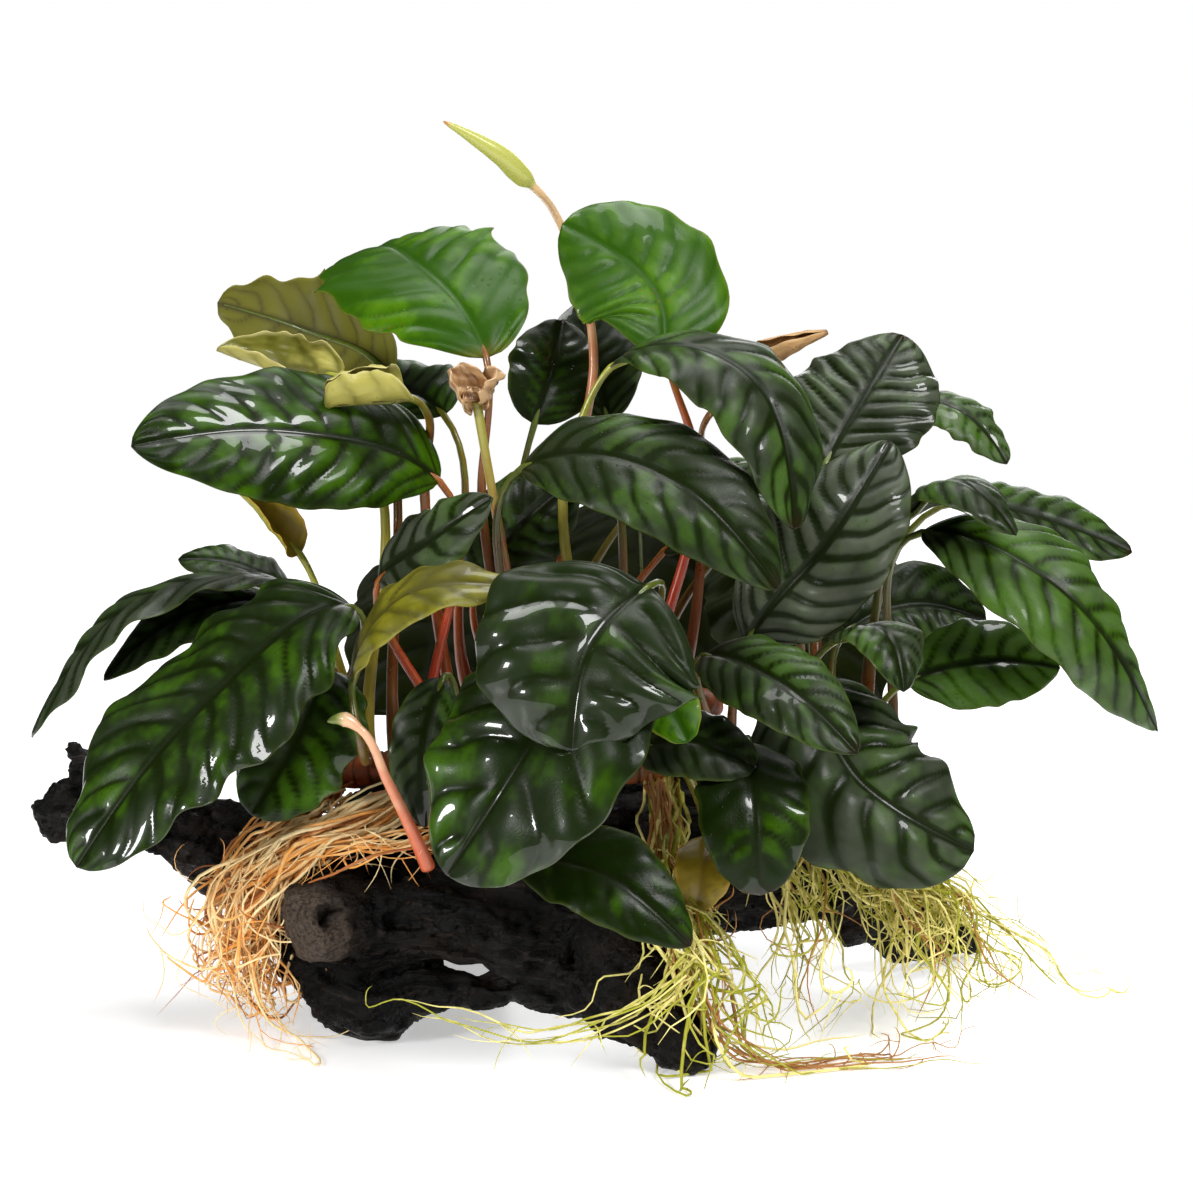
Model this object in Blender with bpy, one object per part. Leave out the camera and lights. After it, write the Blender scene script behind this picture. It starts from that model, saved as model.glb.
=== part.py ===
"""Anubias with ribbed, coffee-bush leaves, growing on a piece of black driftwood.

Everything is in metres, +Z up, +Y away from the front. The origin is on the surface that the wood
stands on, below the middle of the whole plant. Tables below are in millimetres and are scaled by MM
where they are used.
"""

import math
from collections import namedtuple

import bmesh
import bpy
from mathutils import Matrix, Vector, noise

MM = 0.001

# ---------------------------------------------------------------- driving dimensions, millimetres
GAP = 0.4                   # clearance between neighbouring pieces
RHIZOME_RADIUS = 6.0
PETIOLE_ROOT_RADIUS = 1.9   # a leaf stalk where it leaves the rhizome
PETIOLE_TOP_RADIUS = 1.2    # and where the blade starts
ROOT_CLEARANCE = 0.7        # between a stalk's foot and the rhizome's skin
BLADE_THICKNESS = 0.9
FLOOR_LIFT = 0.5            # the hanging roots stop this far above the surface
TIP_RADIUS = 0.5
RHIZOME_TAPER = (0.85, 0.9)  # how much of the radius is left at a rhizome's two ends
FLAT_TURN = 1e-6            # the curl, in radians, that stands for a flat section
MERGE_DISTANCE = 1e-5       # metres

# ---------------------------------------------------------------- how finely the skins are divided
PETIOLE_STEPS = 2           # rings along a stalk, and along each half of a blade
BLADE_STEPS = 3
TUBE_STEPS = 2              # rings between two points of a limb, flower stalk or root mass
RHIZOME_STEPS = 2
ACROSS = (-1.0, -0.5, 0.0, 0.5, 1.0)   # where a ring's points lie, from one margin to the other

# ---------------------------------------------------------------- the wood: centre and radius along each limb
Limb = namedtuple("Limb", "name path seed knots")
WOOD = (
    Limb("wood_trunk", (
        (-88, 4, 50, 20), (-62, 2, 54, 26), (-24, 4, 55, 28), (22, 6, 54, 27), (60, 8, 50, 24),
        (86, 12, 46, 17),
    ), 3, 0.16),
    Limb("wood_front_limb", (
        (-107, -26, 44, 14), (-98, -28, 43, 20), (-80, -32, 42, 21), (-45, -42, 46, 16), (-5, -52, 35, 18),
        (16, -60, 21, 17), (28, -66, 9, 13), (31, -69, 0, 11),
    ), 11, 0.14),
    Limb("wood_lower_strand", (
        (-99, -26, 22, 8), (-88, -36, 14, 13), (-75, -41, 11, 13), (-60, -45, 20, 10), (-48, -48, 21, 6),
        (-38, -48, 21, 6), (-24, -50, 22, 8), (-8, -52, 20, 9),
    ), 23, 0.12),
    Limb("wood_left_arm", (
        (-82, 8, 50, 15), (-114, 8, 52, 13), (-146, 4, 60, 13), (-172, 2, 71, 12), (-188, 2, 73, 9),
        (-199, 2, 71, 4),
    ), 37, 0.2),
    Limb("wood_right_arm", (
        (74, 12, 44, 15), (98, 30, 28, 13), (118, 42, 14, 13), (133, 48, 8, 9), (143, 52, 6, 4),
    ), 41, 0.16),
    Limb("wood_back_limb", (
        (66, 40, 58, 15), (36, 42, 72, 22), (-6, 44, 80, 25), (-42, 46, 72, 24), (-52, 62, 42, 17),
        (-48, 80, 12, 14), (-46, 88, 0, 12),
    ), 53, 0.14),
)

# ---------------------------------------------------------------- rhizomes: the creeping, leafy stems
RHIZOMES = {
    "left": ((-102, 0, 84), (-76, -12, 89), (-46, -8, 92)),
    "middle": ((-34, -4, 92), (-4, -12, 90), (30, -10, 90)),
    "right": ((42, -6, 86), (72, -6, 83), (100, 2, 73)),
    "back": ((-48, 42, 102), (-6, 40, 109), (46, 36, 98)),
}

# ---------------------------------------------------------------- leaves
# on, at, lean: the rhizome, how far along it, and how far the stalk's foot leans forward (degrees)
# knees: points that the stalk passes; base, middle, tip: the midrib; face: where the upper side faces
# curl: degrees that each half turns, + towards the upper side; furl: the same, but growing to the tip
# twist: degrees from base to tip
LEAF_FIELDS = "name on at lean knees base middle tip width face curl tone furl twist"
Leaf = namedtuple("Leaf", LEAF_FIELDS, defaults=(0, 0))
LEAVES = (
    Leaf("leaf_upper_left", "left", 0.80, -10, (), (-54, -12, 191), (-105, -36, 212), (-153, -58, 211),
         54, (0, -8, 6), -14, "dark"),
    Leaf("leaf_top_left", "middle", 0.05, 0, ((-40, 2, 185),), (-38, 0, 232), (-68, 44, 263), (-84, 92, 259),
         68, (-1, -5, 9), -12, "bright"),
    Leaf("leaf_olive", "left", 0.60, -30, ((-70, 14, 180),), (-73, 33, 220), (-107, 64, 234), (-138, 68, 243),
         41, (3, 9, -1), -20, "olive"),
    Leaf("leaf_behind_olive", "back", 0.02, 0, (), (-54, 26, 208), (-80, 64, 214), (-107, 80, 218),
         42, (0, -5, 8), -12, "dark"),
    Leaf("leaf_withered", "left", 0.45, -10, ((-76, 6, 190),), (-88, 6, 224), (-109, 4, 228), (-131, 2, 235),
         28, (1, -5, 7), 80, "pale", 0, 60),
    Leaf("leaf_rolled", "left", 0.98, -30, ((-60, 4, 190), (-58, -10, 214)), (-63, -20, 221), (-77, -22, 221),
         (-92, -24, 219), 34, (0, -2, 8), 150, "pale"),
    Leaf("leaf_standing", "back", 0.25, 10, (), (-22, 25, 205), (-16, 28, 222), (-12, 42, 240),
         33, (1, -8, 2), 20, "dark"),
    Leaf("leaf_standing_rear", "back", 0.62, 0, (), (4, 44, 203), (-1, 52, 223), (-6, 66, 243),
         34, (2, -8, 3), 16, "dark"),
    Leaf("leaf_top", "middle", 0.80, -20, ((34, 4, 200),), (24, 5, 233), (23, 12, 248), (-12, 24, 276),
         57, (2, -8, 4), -12, "bright"),
    Leaf("leaf_drooping", "middle", 0.55, 0, ((-7, -8, 207),), (5, -8, 230), (50, -36, 232), (66, -54, 182),
         50, (4, -5, 8), -18, "dark"),
    Leaf("leaf_dried", "back", 0.84, 10, ((40, 52, 180),), (40, 22, 209), (60, 15, 228), (80, 8, 240),
         24, (-2, -5, 8), 100, "brown", 30, 40),
    Leaf("leaf_tall_rear", "right", 0.45, -20, (), (80, 10, 193), (94, 25, 214), (110, 48, 234),
         54, (-2, -8, 6), -12, "dark"),
    Leaf("leaf_tall_front", "right", 0.08, 10, (), (52, -22, 137), (79, -30, 174), (101, -10, 205),
         48, (-3, -8, 3), -10, "dark"),
    Leaf("leaf_right_pale", "right", 0.56, -30, (), (114, 60, 209), (131, 52, 206), (148, 42, 188),
         28, (1, -3, 8), -20, "dark"),
    Leaf("leaf_right_curled", "right", 0.82, -10, (), (108, 7, 174), (126, -22, 192), (142, -36, 177),
         30, (2, -3, 8), -40, "dark"),
    Leaf("leaf_right_large", "right", 0.97, 10, (), (113, -6, 172), (152, -34, 162), (194, -25, 106),
         46, (3, -6, 6), -14, "dark", -110),
    Leaf("leaf_right_rear", "right", 0.92, -50, (), (129, 25, 177), (160, 30, 170), (192, 30, 158),
         34, (1, -5, 8), -12, "dark"),
    Leaf("leaf_right_low", "right", 0.66, 50, (), (107, -20, 122), (134, -22, 130), (161, -15, 126),
         34, (0, -7, 5), -10, "dark"),
    Leaf("leaf_right_middle", "right", 0.74, -30, (), (90, 32, 128), (116, 44, 136), (142, 44, 130),
         34, (-1, -7, 4), -10, "dark"),
    Leaf("leaf_right_small", "right", 0.30, 20, (), (82, -30, 139), (98, -56, 146), (102, -67, 130),
         28, (2, -5, 8), -20, "dark"),
    Leaf("leaf_centre_right", "right", 0.02, 45, (), (36, -45, 137), (62, -75, 134), (85, -90, 115),
         34, (0, -6, 7), -12, "dark"),
    Leaf("leaf_low_right", "right", 0.40, 60, (), (68, -30, 122), (90, -61, 96), (127, -63, 74),
         64, (2, -7, 4), -30, "dark"),
    Leaf("leaf_low_middle", "right", 0.18, 75, (), (51, -58, 110), (52, -84, 91), (54, -88, 66),
         38, (0, -8, 3), -10, "dark"),
    Leaf("leaf_small_dark", "middle", 0.92, 60, (), (15, -55, 108), (34, -68, 113), (53, -72, 105),
         28, (0, -6, 6), -14, "dark"),
    Leaf("leaf_small_bright", "middle", 0.80, 60, (), (9, -58, 126), (21, -70, 128), (30, -80, 116),
         22, (0, -7, 5), -10, "bright"),
    Leaf("leaf_front_large", "middle", 0.40, 60, (), (-4, -52, 150), (-20, -95, 122), (-49, -101, 77),
         74, (-3, -7, 5), -14, "dark"),
    Leaf("leaf_front_centre", "middle", 0.62, 40, (), (17, -74, 167), (-2, -95, 152), (-8, -107, 120),
         78, (-1, -8, 4), -16, "dark"),
    Leaf("leaf_centre", "middle", 0.18, 10, (), (-25, -25, 198), (23, -58, 201), (60, -68, 165),
         44, (0, -7, 6), -14, "dark"),
    Leaf("leaf_left_grey", "left", 0.88, 30, (), (-75, -18, 157), (-56, -36, 175), (-35, -42, 191),
         32, (2, -6, 7), -14, "dark"),
    Leaf("leaf_arched_olive", "left", 0.50, 50, ((-79, -58, 110),), (-82, -53, 129), (-65, -60, 160),
         (-25, -66, 165), 32, (3, -3, 8), -12, "olive"),
    Leaf("leaf_left_large", "left", 0.30, 20, (), (-83, -32, 151), (-133, -62, 122), (-172, -82, 74),
         62, (-4, -7, 6), -12, "dark"),
    Leaf("leaf_left_low", "left", 0.22, 40, (), (-91, -28, 128), (-103, -48, 106), (-117, -54, 84),
         44, (-2, -7, 3), -10, "dark"),
    Leaf("leaf_far_left", "left", 0.12, -20, (), (-103, 5, 147), (-150, -8, 152), (-196, -22, 103),
         44, (-3, 0, 9), -14, "dark"),
    Leaf("leaf_far_left_low", "left", 0.04, 0, (), (-108, 12, 141), (-144, 2, 141), (-173, -4, 119),
         30, (-2, -4, 9), -14, "dark"),
    Leaf("leaf_far_left_rear", "left", 0.15, -60, (), (-112, 32, 144), (-134, 36, 153), (-151, 38, 154),
         28, (-1, -3, 9), -12, "dark"),
    Leaf("leaf_furled", "left", 0.36, -20, ((-92, -2, 130),), (-103, -5, 164), (-112, -8, 176),
         (-123, -10, 187), 20, (3, -5, 6), 80, "yellow", 0, 40),
    Leaf("leaf_low_front", "middle", 0.30, 80, (), (-24, -64, 76), (4, -88, 73), (31, -95, 51),
         33, (0, -7, 5), -10, "dark"),
    Leaf("leaf_yellowing", "middle", 0.98, 80, (), (37, -52, 76), (36, -64, 68), (33, -66, 53),
         20, (0, -8, 3), 10, "yellow"),
    Leaf("leaf_inner_dark", "back", 0.15, 40, (), (-42, 8, 150), (-26, 0, 174), (-6, -6, 192),
         36, (0, -8, 4), -10, "dark"),
    Leaf("leaf_inner_low", "left", 0.92, 80, (), (-52, -40, 128), (-58, -52, 108), (-58, -56, 80),
         24, (0, -8, 2), -10, "dark"),
    Leaf("leaf_rear_left", "back", 0.10, -30, (), (-38, 60, 146), (-52, 82, 134), (-66, 100, 80),
         72, (-2, 8, 4), -14, "dark"),
    Leaf("leaf_rear_middle", "back", 0.42, -30, (), (14, 64, 168), (16, 92, 158), (18, 112, 84),
         72, (0, 8, 4), -14, "dark"),
    Leaf("leaf_rear_right", "back", 0.74, -30, (), (56, 60, 158), (71, 83, 148), (82, 103, 78),
         72, (2, 8, 4), -14, "dark"),
    Leaf("leaf_rear_upper", "back", 0.55, 20, (), (24, 30, 158), (46, 18, 182), (72, 2, 178),
         36, (0, -6, 7), -12, "dark"),
)

# ---------------------------------------------------------------- flower stalks: centre and radius along each
STALKS = {
    "spathe_bud": ((-18, 8, 99, 1.9), (-8, 15, 190, 1.8), (-1, 22, 229, 1.6), (-5, 31, 254, 1.5),
                   (-13, 30, 276, 1.4), (-22, 14, 290, 1.3), (-25, 12, 293, 3.2), (-32, 8, 300, 3.4),
                   (-42, 4, 307, 2.0), (-52, 0, 313, 0.5)),
    "spathe_withered": ((-24, 8, 99, 1.8), (-30, -4, 150, 1.6), (-39, -12, 206, 1.6), (-41, -13, 219, 1.8),
                        (-42, -13, 226, 4.5), (-38, -13, 232, 3.0)),
    "spathe_stalk": ((-57, -56, 66, 2.6), (-62, -60, 80, 2.2), (-70, -62, 98, 1.7), (-79, -62, 116, 1.4),
                     (-84, -61, 119, 2.6), (-90, -60, 118, 0.8)),
}

# ---------------------------------------------------------------- root masses: centre and radius along each
ROOTS = {
    "roots_left": ((-88, -38, 76, 6), (-104, -46, 68, 9), (-118, -44, 54, 13), (-122, -42, 36, 15),
                   (-120, -42, 16, 11), (-116, -40, 1, 6)),
    "roots_front": ((36, -66, 46, 7), (36, -76, 36, 11), (37, -72, 22, 15), (40, -66, 8, 20),
                    (42, -63, -4, 22)),
    "roots_right": ((84, -16, 58, 8), (100, -16, 46, 13), (112, -24, 30, 16), (110, -34, 12, 21),
                    (108, -38, -4, 22)),
}


# ---------------------------------------------------------------- scene, collections and materials
def clear_scene():
    for old in list(bpy.data.objects):
        bpy.data.objects.remove(old, do_unlink=True)


def new_collection(name):
    group = bpy.data.collections.new(name)
    bpy.context.scene.collection.children.link(group)
    return group


def new_object(name, data, group):
    made = bpy.data.objects.new(name, data)
    group.objects.link(made)
    return made


def finish_of(name, color, roughness):
    material = bpy.data.materials.new(name)
    material.use_nodes = True
    shader = material.node_tree.nodes["Principled BSDF"]
    shader.inputs["Base Color"].default_value = (*color, 1.0)
    shader.inputs["Roughness"].default_value = roughness
    shader.inputs["Metallic"].default_value = 0.0
    return material


COLORS = {
    "dark": (0.016, 0.075, 0.016), "bright": (0.08, 0.25, 0.02), "olive": (0.14, 0.15, 0.03),
    "pale": (0.50, 0.47, 0.17), "brown": (0.36, 0.20, 0.08), "yellow": (0.38, 0.36, 0.05),
    "wood": (0.02, 0.018, 0.016), "rhizome": (0.32, 0.12, 0.03), "root": (0.50, 0.36, 0.14),
    "stalk": (0.60, 0.30, 0.18),
}
GLOSS = {"dark": 0.25, "bright": 0.3, "wood": 0.7, "root": 0.6}


def give_finish(piece, kind):
    piece.data.materials.append(finish_of(piece.name + "_finish", COLORS[kind], GLOSS.get(kind, 0.45)))
    return piece


# ---------------------------------------------------------------- smooth paths
def tangents(points, first=None):
    """Unit directions at the points: between the chords inside, and bent a little outwards at the ends."""
    chords = [b - a for a, b in zip(points, points[1:])]
    inner = []
    for before, after in zip(chords, chords[1:]):
        blend = before.normalized() * after.length + after.normalized() * before.length
        inner.append(blend.normalized())
    start = first or (chords[0].normalized() * 1.5 - (inner or chords)[0].normalized() * 0.5).normalized()
    end = (chords[-1].normalized() * 1.5 - (inner or chords)[-1].normalized() * 0.5).normalized()
    return [start, *inner, end]


def smooth(points, steps, first=None):
    """Points along a smooth curve through the given ones; steps holds the count for each stretch."""
    points = [Vector(p) for p in points]
    ways = tangents(points, first)
    line = [points[0]]
    for i, count in enumerate(steps):
        a, b = points[i], points[i + 1]
        reach = (b - a).length
        for k in range(1, count + 1):
            t = k / count
            h0, h1 = 2 * t**3 - 3 * t**2 + 1, t**3 - 2 * t**2 + t
            h2, h3 = 3 * t**2 - 2 * t**3, t**3 - t**2
            line.append(a * h0 + ways[i] * (h1 * reach) + b * h2 + ways[i + 1] * (h3 * reach))
    return line


def directions(line):
    """Unit directions along a line of points."""
    ends = [line[0], *line, line[-1]]
    return [(c - a).normalized() for a, c in zip(ends, ends[2:])]


def carried(face, ways):
    """A vector carried along a line without spinning, square to the line at each point."""
    held = []
    for way in ways:
        face = (face - way * face.dot(way)).normalized()
        held.append(face)
    return held


# ---------------------------------------------------------------- tubes: rhizomes, stalks, roots and wood
def tube(name, path, steps, group, sides_level, kind):
    """A closed tube along a path of (x, y, z, radius), with its radius following the path too."""
    centres = smooth([p[:3] for p in path], [steps] * (len(path) - 1))
    curve = bpy.data.curves.new(name, "CURVE")
    curve.dimensions = "3D"
    curve.bevel_depth = MM
    curve.bevel_resolution = sides_level
    curve.use_fill_caps = True
    spline = curve.splines.new("POLY")
    spline.points.add(len(centres) - 1)
    for i, centre in enumerate(centres):
        k, part = divmod(i, steps)
        after = path[min(k + 1, len(path) - 1)]
        radius = path[k][3] + (after[3] - path[k][3]) * part / steps
        spline.points[i].co = (*(centre * MM), 1.0)
        spline.points[i].radius = radius
    return give_finish(solid_from(new_object(name, curve, group), group), kind)


def solid_from(drawn, group):
    """A curve object made into a closed mesh object of the same name."""
    name, curve = drawn.name, drawn.data
    bpy.context.view_layer.update()
    evaluated = drawn.evaluated_get(bpy.context.evaluated_depsgraph_get())
    mesh = bpy.data.meshes.new_from_object(evaluated)
    bpy.data.objects.remove(drawn, do_unlink=True)
    bpy.data.curves.remove(curve)
    mesh.name = name
    with_bmesh(mesh, weld)
    return new_object(name, mesh, group)


def weld(work):
    """Join the caps to the tube, and leave only flat faces."""
    bmesh.ops.remove_doubles(work, verts=work.verts, dist=MERGE_DISTANCE)
    bmesh.ops.triangulate(work, faces=work.faces)


def with_bmesh(mesh, change):
    work = bmesh.new()
    work.from_mesh(mesh)
    change(work)
    work.to_mesh(mesh)
    work.free()
    mesh.update()


def roughen(piece, amount, size, seed):
    """Push the skin in and out by smooth noise, in millimetres, with lumps of about the given size."""
    offset = Vector((seed * 7.3, seed * 3.1, seed * 5.7))

    def push(work):
        work.normal_update()
        moves = [noise.noise(v.co / (size * MM) + offset) * amount * MM for v in work.verts]
        for v, move in zip(work.verts, moves):
            v.co += v.normal * move
    with_bmesh(piece.data, push)


def cut_flat(piece, height):
    """Cut the piece off level at a height in millimetres, and close the cut."""
    def cut(work):
        everything = work.verts[:] + work.edges[:] + work.faces[:]
        found = bmesh.ops.bisect_plane(
            work, geom=everything, plane_co=(0, 0, height * MM), plane_no=(0, 0, -1), clear_outer=True)
        edges = [e for e in found["geom_cut"] if isinstance(e, bmesh.types.BMEdge)]
        bmesh.ops.holes_fill(work, edges=edges)
    with_bmesh(piece.data, cut)


def carve(piece, neighbours, cutters):
    """Cut the neighbours out of the piece, with the clearance between them."""
    for other in neighbours:
        cutter = new_object("cutter_" + piece.name + "_" + other.name, other.data.copy(), cutters)
        cutter.hide_render = True
        cutter.display_type = "WIRE"

        def grow(work):
            work.normal_update()
            normals = [v.normal.copy() for v in work.verts]
            for v, normal in zip(work.verts, normals):
                v.co += normal * (GAP * MM)
        with_bmesh(cutter.data, grow)
        cut = piece.modifiers.new("cut_" + other.name, "BOOLEAN")
        cut.operation = "DIFFERENCE"
        cut.object = cutter
        cut.solver = "EXACT"
        cut.use_self = True


# ---------------------------------------------------------------- leaves
def half_width(width, u):
    """Half the blade's width at u, 0 at the stalk and 1 at the tip."""
    return width / 2 * max(math.sin(math.pi * u**0.9), 0.0)**0.55


def ring(centre, side, up, half, thick, curl):
    """One section: the upper points from margin to margin, then the lower ones back."""
    turn = math.radians(curl) or FLAT_TURN
    upper, lower = [], []
    for v in ACROSS:
        bent = turn * v
        skin = centre + side * (half * math.sin(bent) / turn) + up * (half * (1 - math.cos(bent)) / turn)
        out = (up * math.cos(bent) - side * math.sin(bent)) * (thick * math.sqrt(1 - v * v))
        upper.append(skin + out)
        if abs(v) < 1:
            lower.append(skin - out)
    return upper + lower[::-1]


def leaf_rings(leaf):
    foot, lean = foot_of(leaf)
    stalk = smooth([foot, *leaf.knees, leaf.base, leaf.middle, leaf.tip],
                   [PETIOLE_STEPS] + [2] * len(leaf.knees) + [BLADE_STEPS] * 2, lean)
    start = len(stalk) - 1 - 2 * BLADE_STEPS
    centre = start + BLADE_STEPS
    ways = directions(stalk)
    face = Vector(leaf.face)
    faces = carried(face, ways[centre::-1])[::-1][:-1] + carried(face, ways[centre:])
    lengths = [0.0]
    for a, b in zip(stalk[start:], stalk[start + 1:]):
        lengths.append(lengths[-1] + (b - a).length)
    rings = []
    for i, (point, way, up) in enumerate(zip(stalk, ways, faces)):
        if i <= start:
            share = i / start
            radius = PETIOLE_ROOT_RADIUS + (PETIOLE_TOP_RADIUS - PETIOLE_ROOT_RADIUS) * share
            rings.append(ring(point, way.cross(up), up, radius, radius, 0))
            continue
        u = lengths[i - start] / lengths[-1]
        half = max(half_width(leaf.width, u), TIP_RADIUS)
        up = Matrix.Rotation(math.radians(leaf.twist) * (u - 0.5), 3, way) @ up
        curl = leaf.curl * min(1, 4 * u) + leaf.furl * u**3
        rings.append(ring(point, way.cross(up), up, half, BLADE_THICKNESS / 2, curl))
    return rings


def foot_of(leaf):
    """Where the leaf's stalk leaves its rhizome, and the direction that it sets off in."""
    path = RHIZOMES[leaf.on]
    steps = 10
    line = smooth(path, [steps] * (len(path) - 1))
    spot = leaf.at * (len(line) - 1)
    k = min(int(spot), len(line) - 2)
    centre = line[k].lerp(line[k + 1], spot - k)
    lean = math.radians(leaf.lean)
    way = Vector((0, -math.sin(lean), math.cos(lean)))
    along = (line[k + 1] - line[k]).normalized()
    way = (way - along * way.dot(along)).normalized()
    return centre + way * (RHIZOME_RADIUS + ROOT_CLEARANCE), way


def loft(name, rings, group, kind):
    """A closed solid through rings of equal count, clockwise seen along the loft, with flat ends."""
    mesh = bpy.data.meshes.new(name)
    work = bmesh.new()
    rows = [[work.verts.new(p * MM) for p in points] for points in rings]
    for low, high in zip(rows, rows[1:]):
        for i in range(len(low)):
            j = (i + 1) % len(low)
            work.faces.new((low[i], low[j], high[j], high[i]))
    work.faces.new(rows[0][::-1])
    work.faces.new(rows[-1])
    work.to_mesh(mesh)
    work.free()
    mesh.shade_smooth()
    return give_finish(new_object(name, mesh, group), kind)


# ---------------------------------------------------------------- the whole plant
def build_wood(group, cutters):
    pieces = []
    for limb in WOOD:
        piece = tube(limb.name, limb.path, TUBE_STEPS, group, 3, "wood")
        widest = max(p[3] for p in limb.path)
        roughen(piece, limb.knots * widest * 2, widest, limb.seed)
        cut_flat(piece, 0)
        carve(piece, pieces[:2], cutters)
        pieces.append(piece)
    return pieces


def build_rhizomes(group, cutters, wood):
    pieces = []
    for name, path in RHIZOMES.items():
        shares = [RHIZOME_TAPER[0]] + [1.0] * (len(path) - 2) + [RHIZOME_TAPER[1]]
        spine = [(*p, RHIZOME_RADIUS * share) for p, share in zip(path, shares)]
        piece = tube("rhizome_" + name, spine, RHIZOME_STEPS, group, 2, "rhizome")
        carve(piece, wood[:2], cutters)
        pieces.append(piece)
    return pieces


def main():
    clear_scene()
    plant = new_collection("anubias_on_driftwood")
    cutters = new_collection("cutters")
    wood = build_wood(plant, cutters)
    rhizomes = build_rhizomes(plant, cutters, wood)
    for leaf in LEAVES:
        loft(leaf.name, leaf_rings(leaf), plant, leaf.tone)
    for name, path in STALKS.items():
        tube(name, path, TUBE_STEPS, plant, 1, "stalk")
    for name, path in ROOTS.items():
        piece = tube(name, path, TUBE_STEPS, plant, 2, "root")
        cut_flat(piece, FLOOR_LIFT)
        carve(piece, wood + rhizomes, cutters)


main()
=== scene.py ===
"""Looks of the anubias on black driftwood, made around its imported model.

Tables are in millimetres and meshes in metres, and MM turns one into the other. Floor, lamps and camera are
in metres. The leaves, stalks, limbs and rhizomes follow the same tables as the solids that they replace, with
a fine skin in place of the coarse one.
"""

import math
from collections import namedtuple

import bmesh
import bpy
import numpy as np
from mathutils import Matrix, Vector, noise
from mathutils.kdtree import KDTree


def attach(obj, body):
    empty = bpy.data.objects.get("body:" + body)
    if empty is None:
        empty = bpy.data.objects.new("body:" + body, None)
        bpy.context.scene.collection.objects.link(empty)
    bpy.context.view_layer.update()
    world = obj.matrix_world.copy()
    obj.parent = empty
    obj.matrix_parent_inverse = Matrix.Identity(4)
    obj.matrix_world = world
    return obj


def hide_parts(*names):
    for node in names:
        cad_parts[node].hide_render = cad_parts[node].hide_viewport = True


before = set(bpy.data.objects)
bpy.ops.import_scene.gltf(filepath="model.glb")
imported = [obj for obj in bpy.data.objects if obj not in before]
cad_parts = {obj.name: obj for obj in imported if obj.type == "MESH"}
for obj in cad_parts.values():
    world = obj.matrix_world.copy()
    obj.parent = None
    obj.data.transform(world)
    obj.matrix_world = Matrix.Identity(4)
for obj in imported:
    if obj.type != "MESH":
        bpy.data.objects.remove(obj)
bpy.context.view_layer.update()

MM = 0.001
FLAT_TURN = 1e-6            # the curl, in radians, that stands for a flat section

# ---------------------------------------------------------------- sizes, millimetres
RHIZOME_RADIUS = 6.0
ROOT_CLEARANCE = 0.7
STALK_SINK = 3.0            # how deep a leaf stalk is rooted in its rhizome
STALK_RADII = (2.1, 1.15)   # at the rhizome and at the blade
STALK_SIDES = 8
MIDRIB_TIP_RADIUS = 0.25
BLADE_THICKNESS = 0.55
BLADE_PITCH = 1.25          # spacing of a blade's rows and columns
TIP_RADIUS = 0.35
MIDRIB_GROOVE = 0.55
DRY = -0.12                 # the wet mark where no water lies
FLOOR_GAP = 0.6             # roots stay this far above the surface
VOXEL = 1.4                 # the wood's grain of detail

Limb = namedtuple("Limb", "name path seed knots")
WOOD = (
    Limb("wood_trunk", ((-88, 4, 50, 20), (-62, 2, 54, 26), (-24, 4, 55, 28), (22, 6, 54, 27),
         (60, 8, 50, 24), (86, 12, 46, 17)), 3, 0.16),
    Limb("wood_front_limb", ((-107, -26, 44, 14), (-98, -28, 43, 20), (-80, -32, 42, 21),
         (-45, -42, 46, 16), (-5, -52, 35, 18), (16, -60, 21, 17), (28, -66, 9, 13), (31, -69, 0, 11)), 11,
         0.14),
    Limb("wood_lower_strand", ((-99, -26, 22, 8), (-88, -36, 14, 13), (-75, -41, 11, 13),
         (-60, -45, 20, 10), (-48, -48, 21, 6), (-38, -48, 21, 6), (-24, -50, 22, 8), (-8, -52, 20, 9)), 23,
         0.12),
    Limb("wood_left_arm", ((-82, 8, 50, 15), (-114, 8, 52, 13), (-146, 4, 60, 13), (-172, 2, 71, 12),
         (-188, 2, 73, 9), (-199, 2, 71, 4)), 37, 0.2),
    Limb("wood_right_arm", ((74, 12, 44, 15), (98, 30, 28, 13), (118, 42, 14, 13), (133, 48, 8, 9),
         (143, 52, 6, 4)), 41, 0.16),
    Limb("wood_back_limb", ((66, 40, 58, 15), (36, 42, 72, 22), (-6, 44, 80, 25), (-42, 46, 72, 24),
         (-52, 62, 42, 17), (-48, 80, 12, 14), (-46, 88, 0, 12)), 53, 0.14),
)

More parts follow.
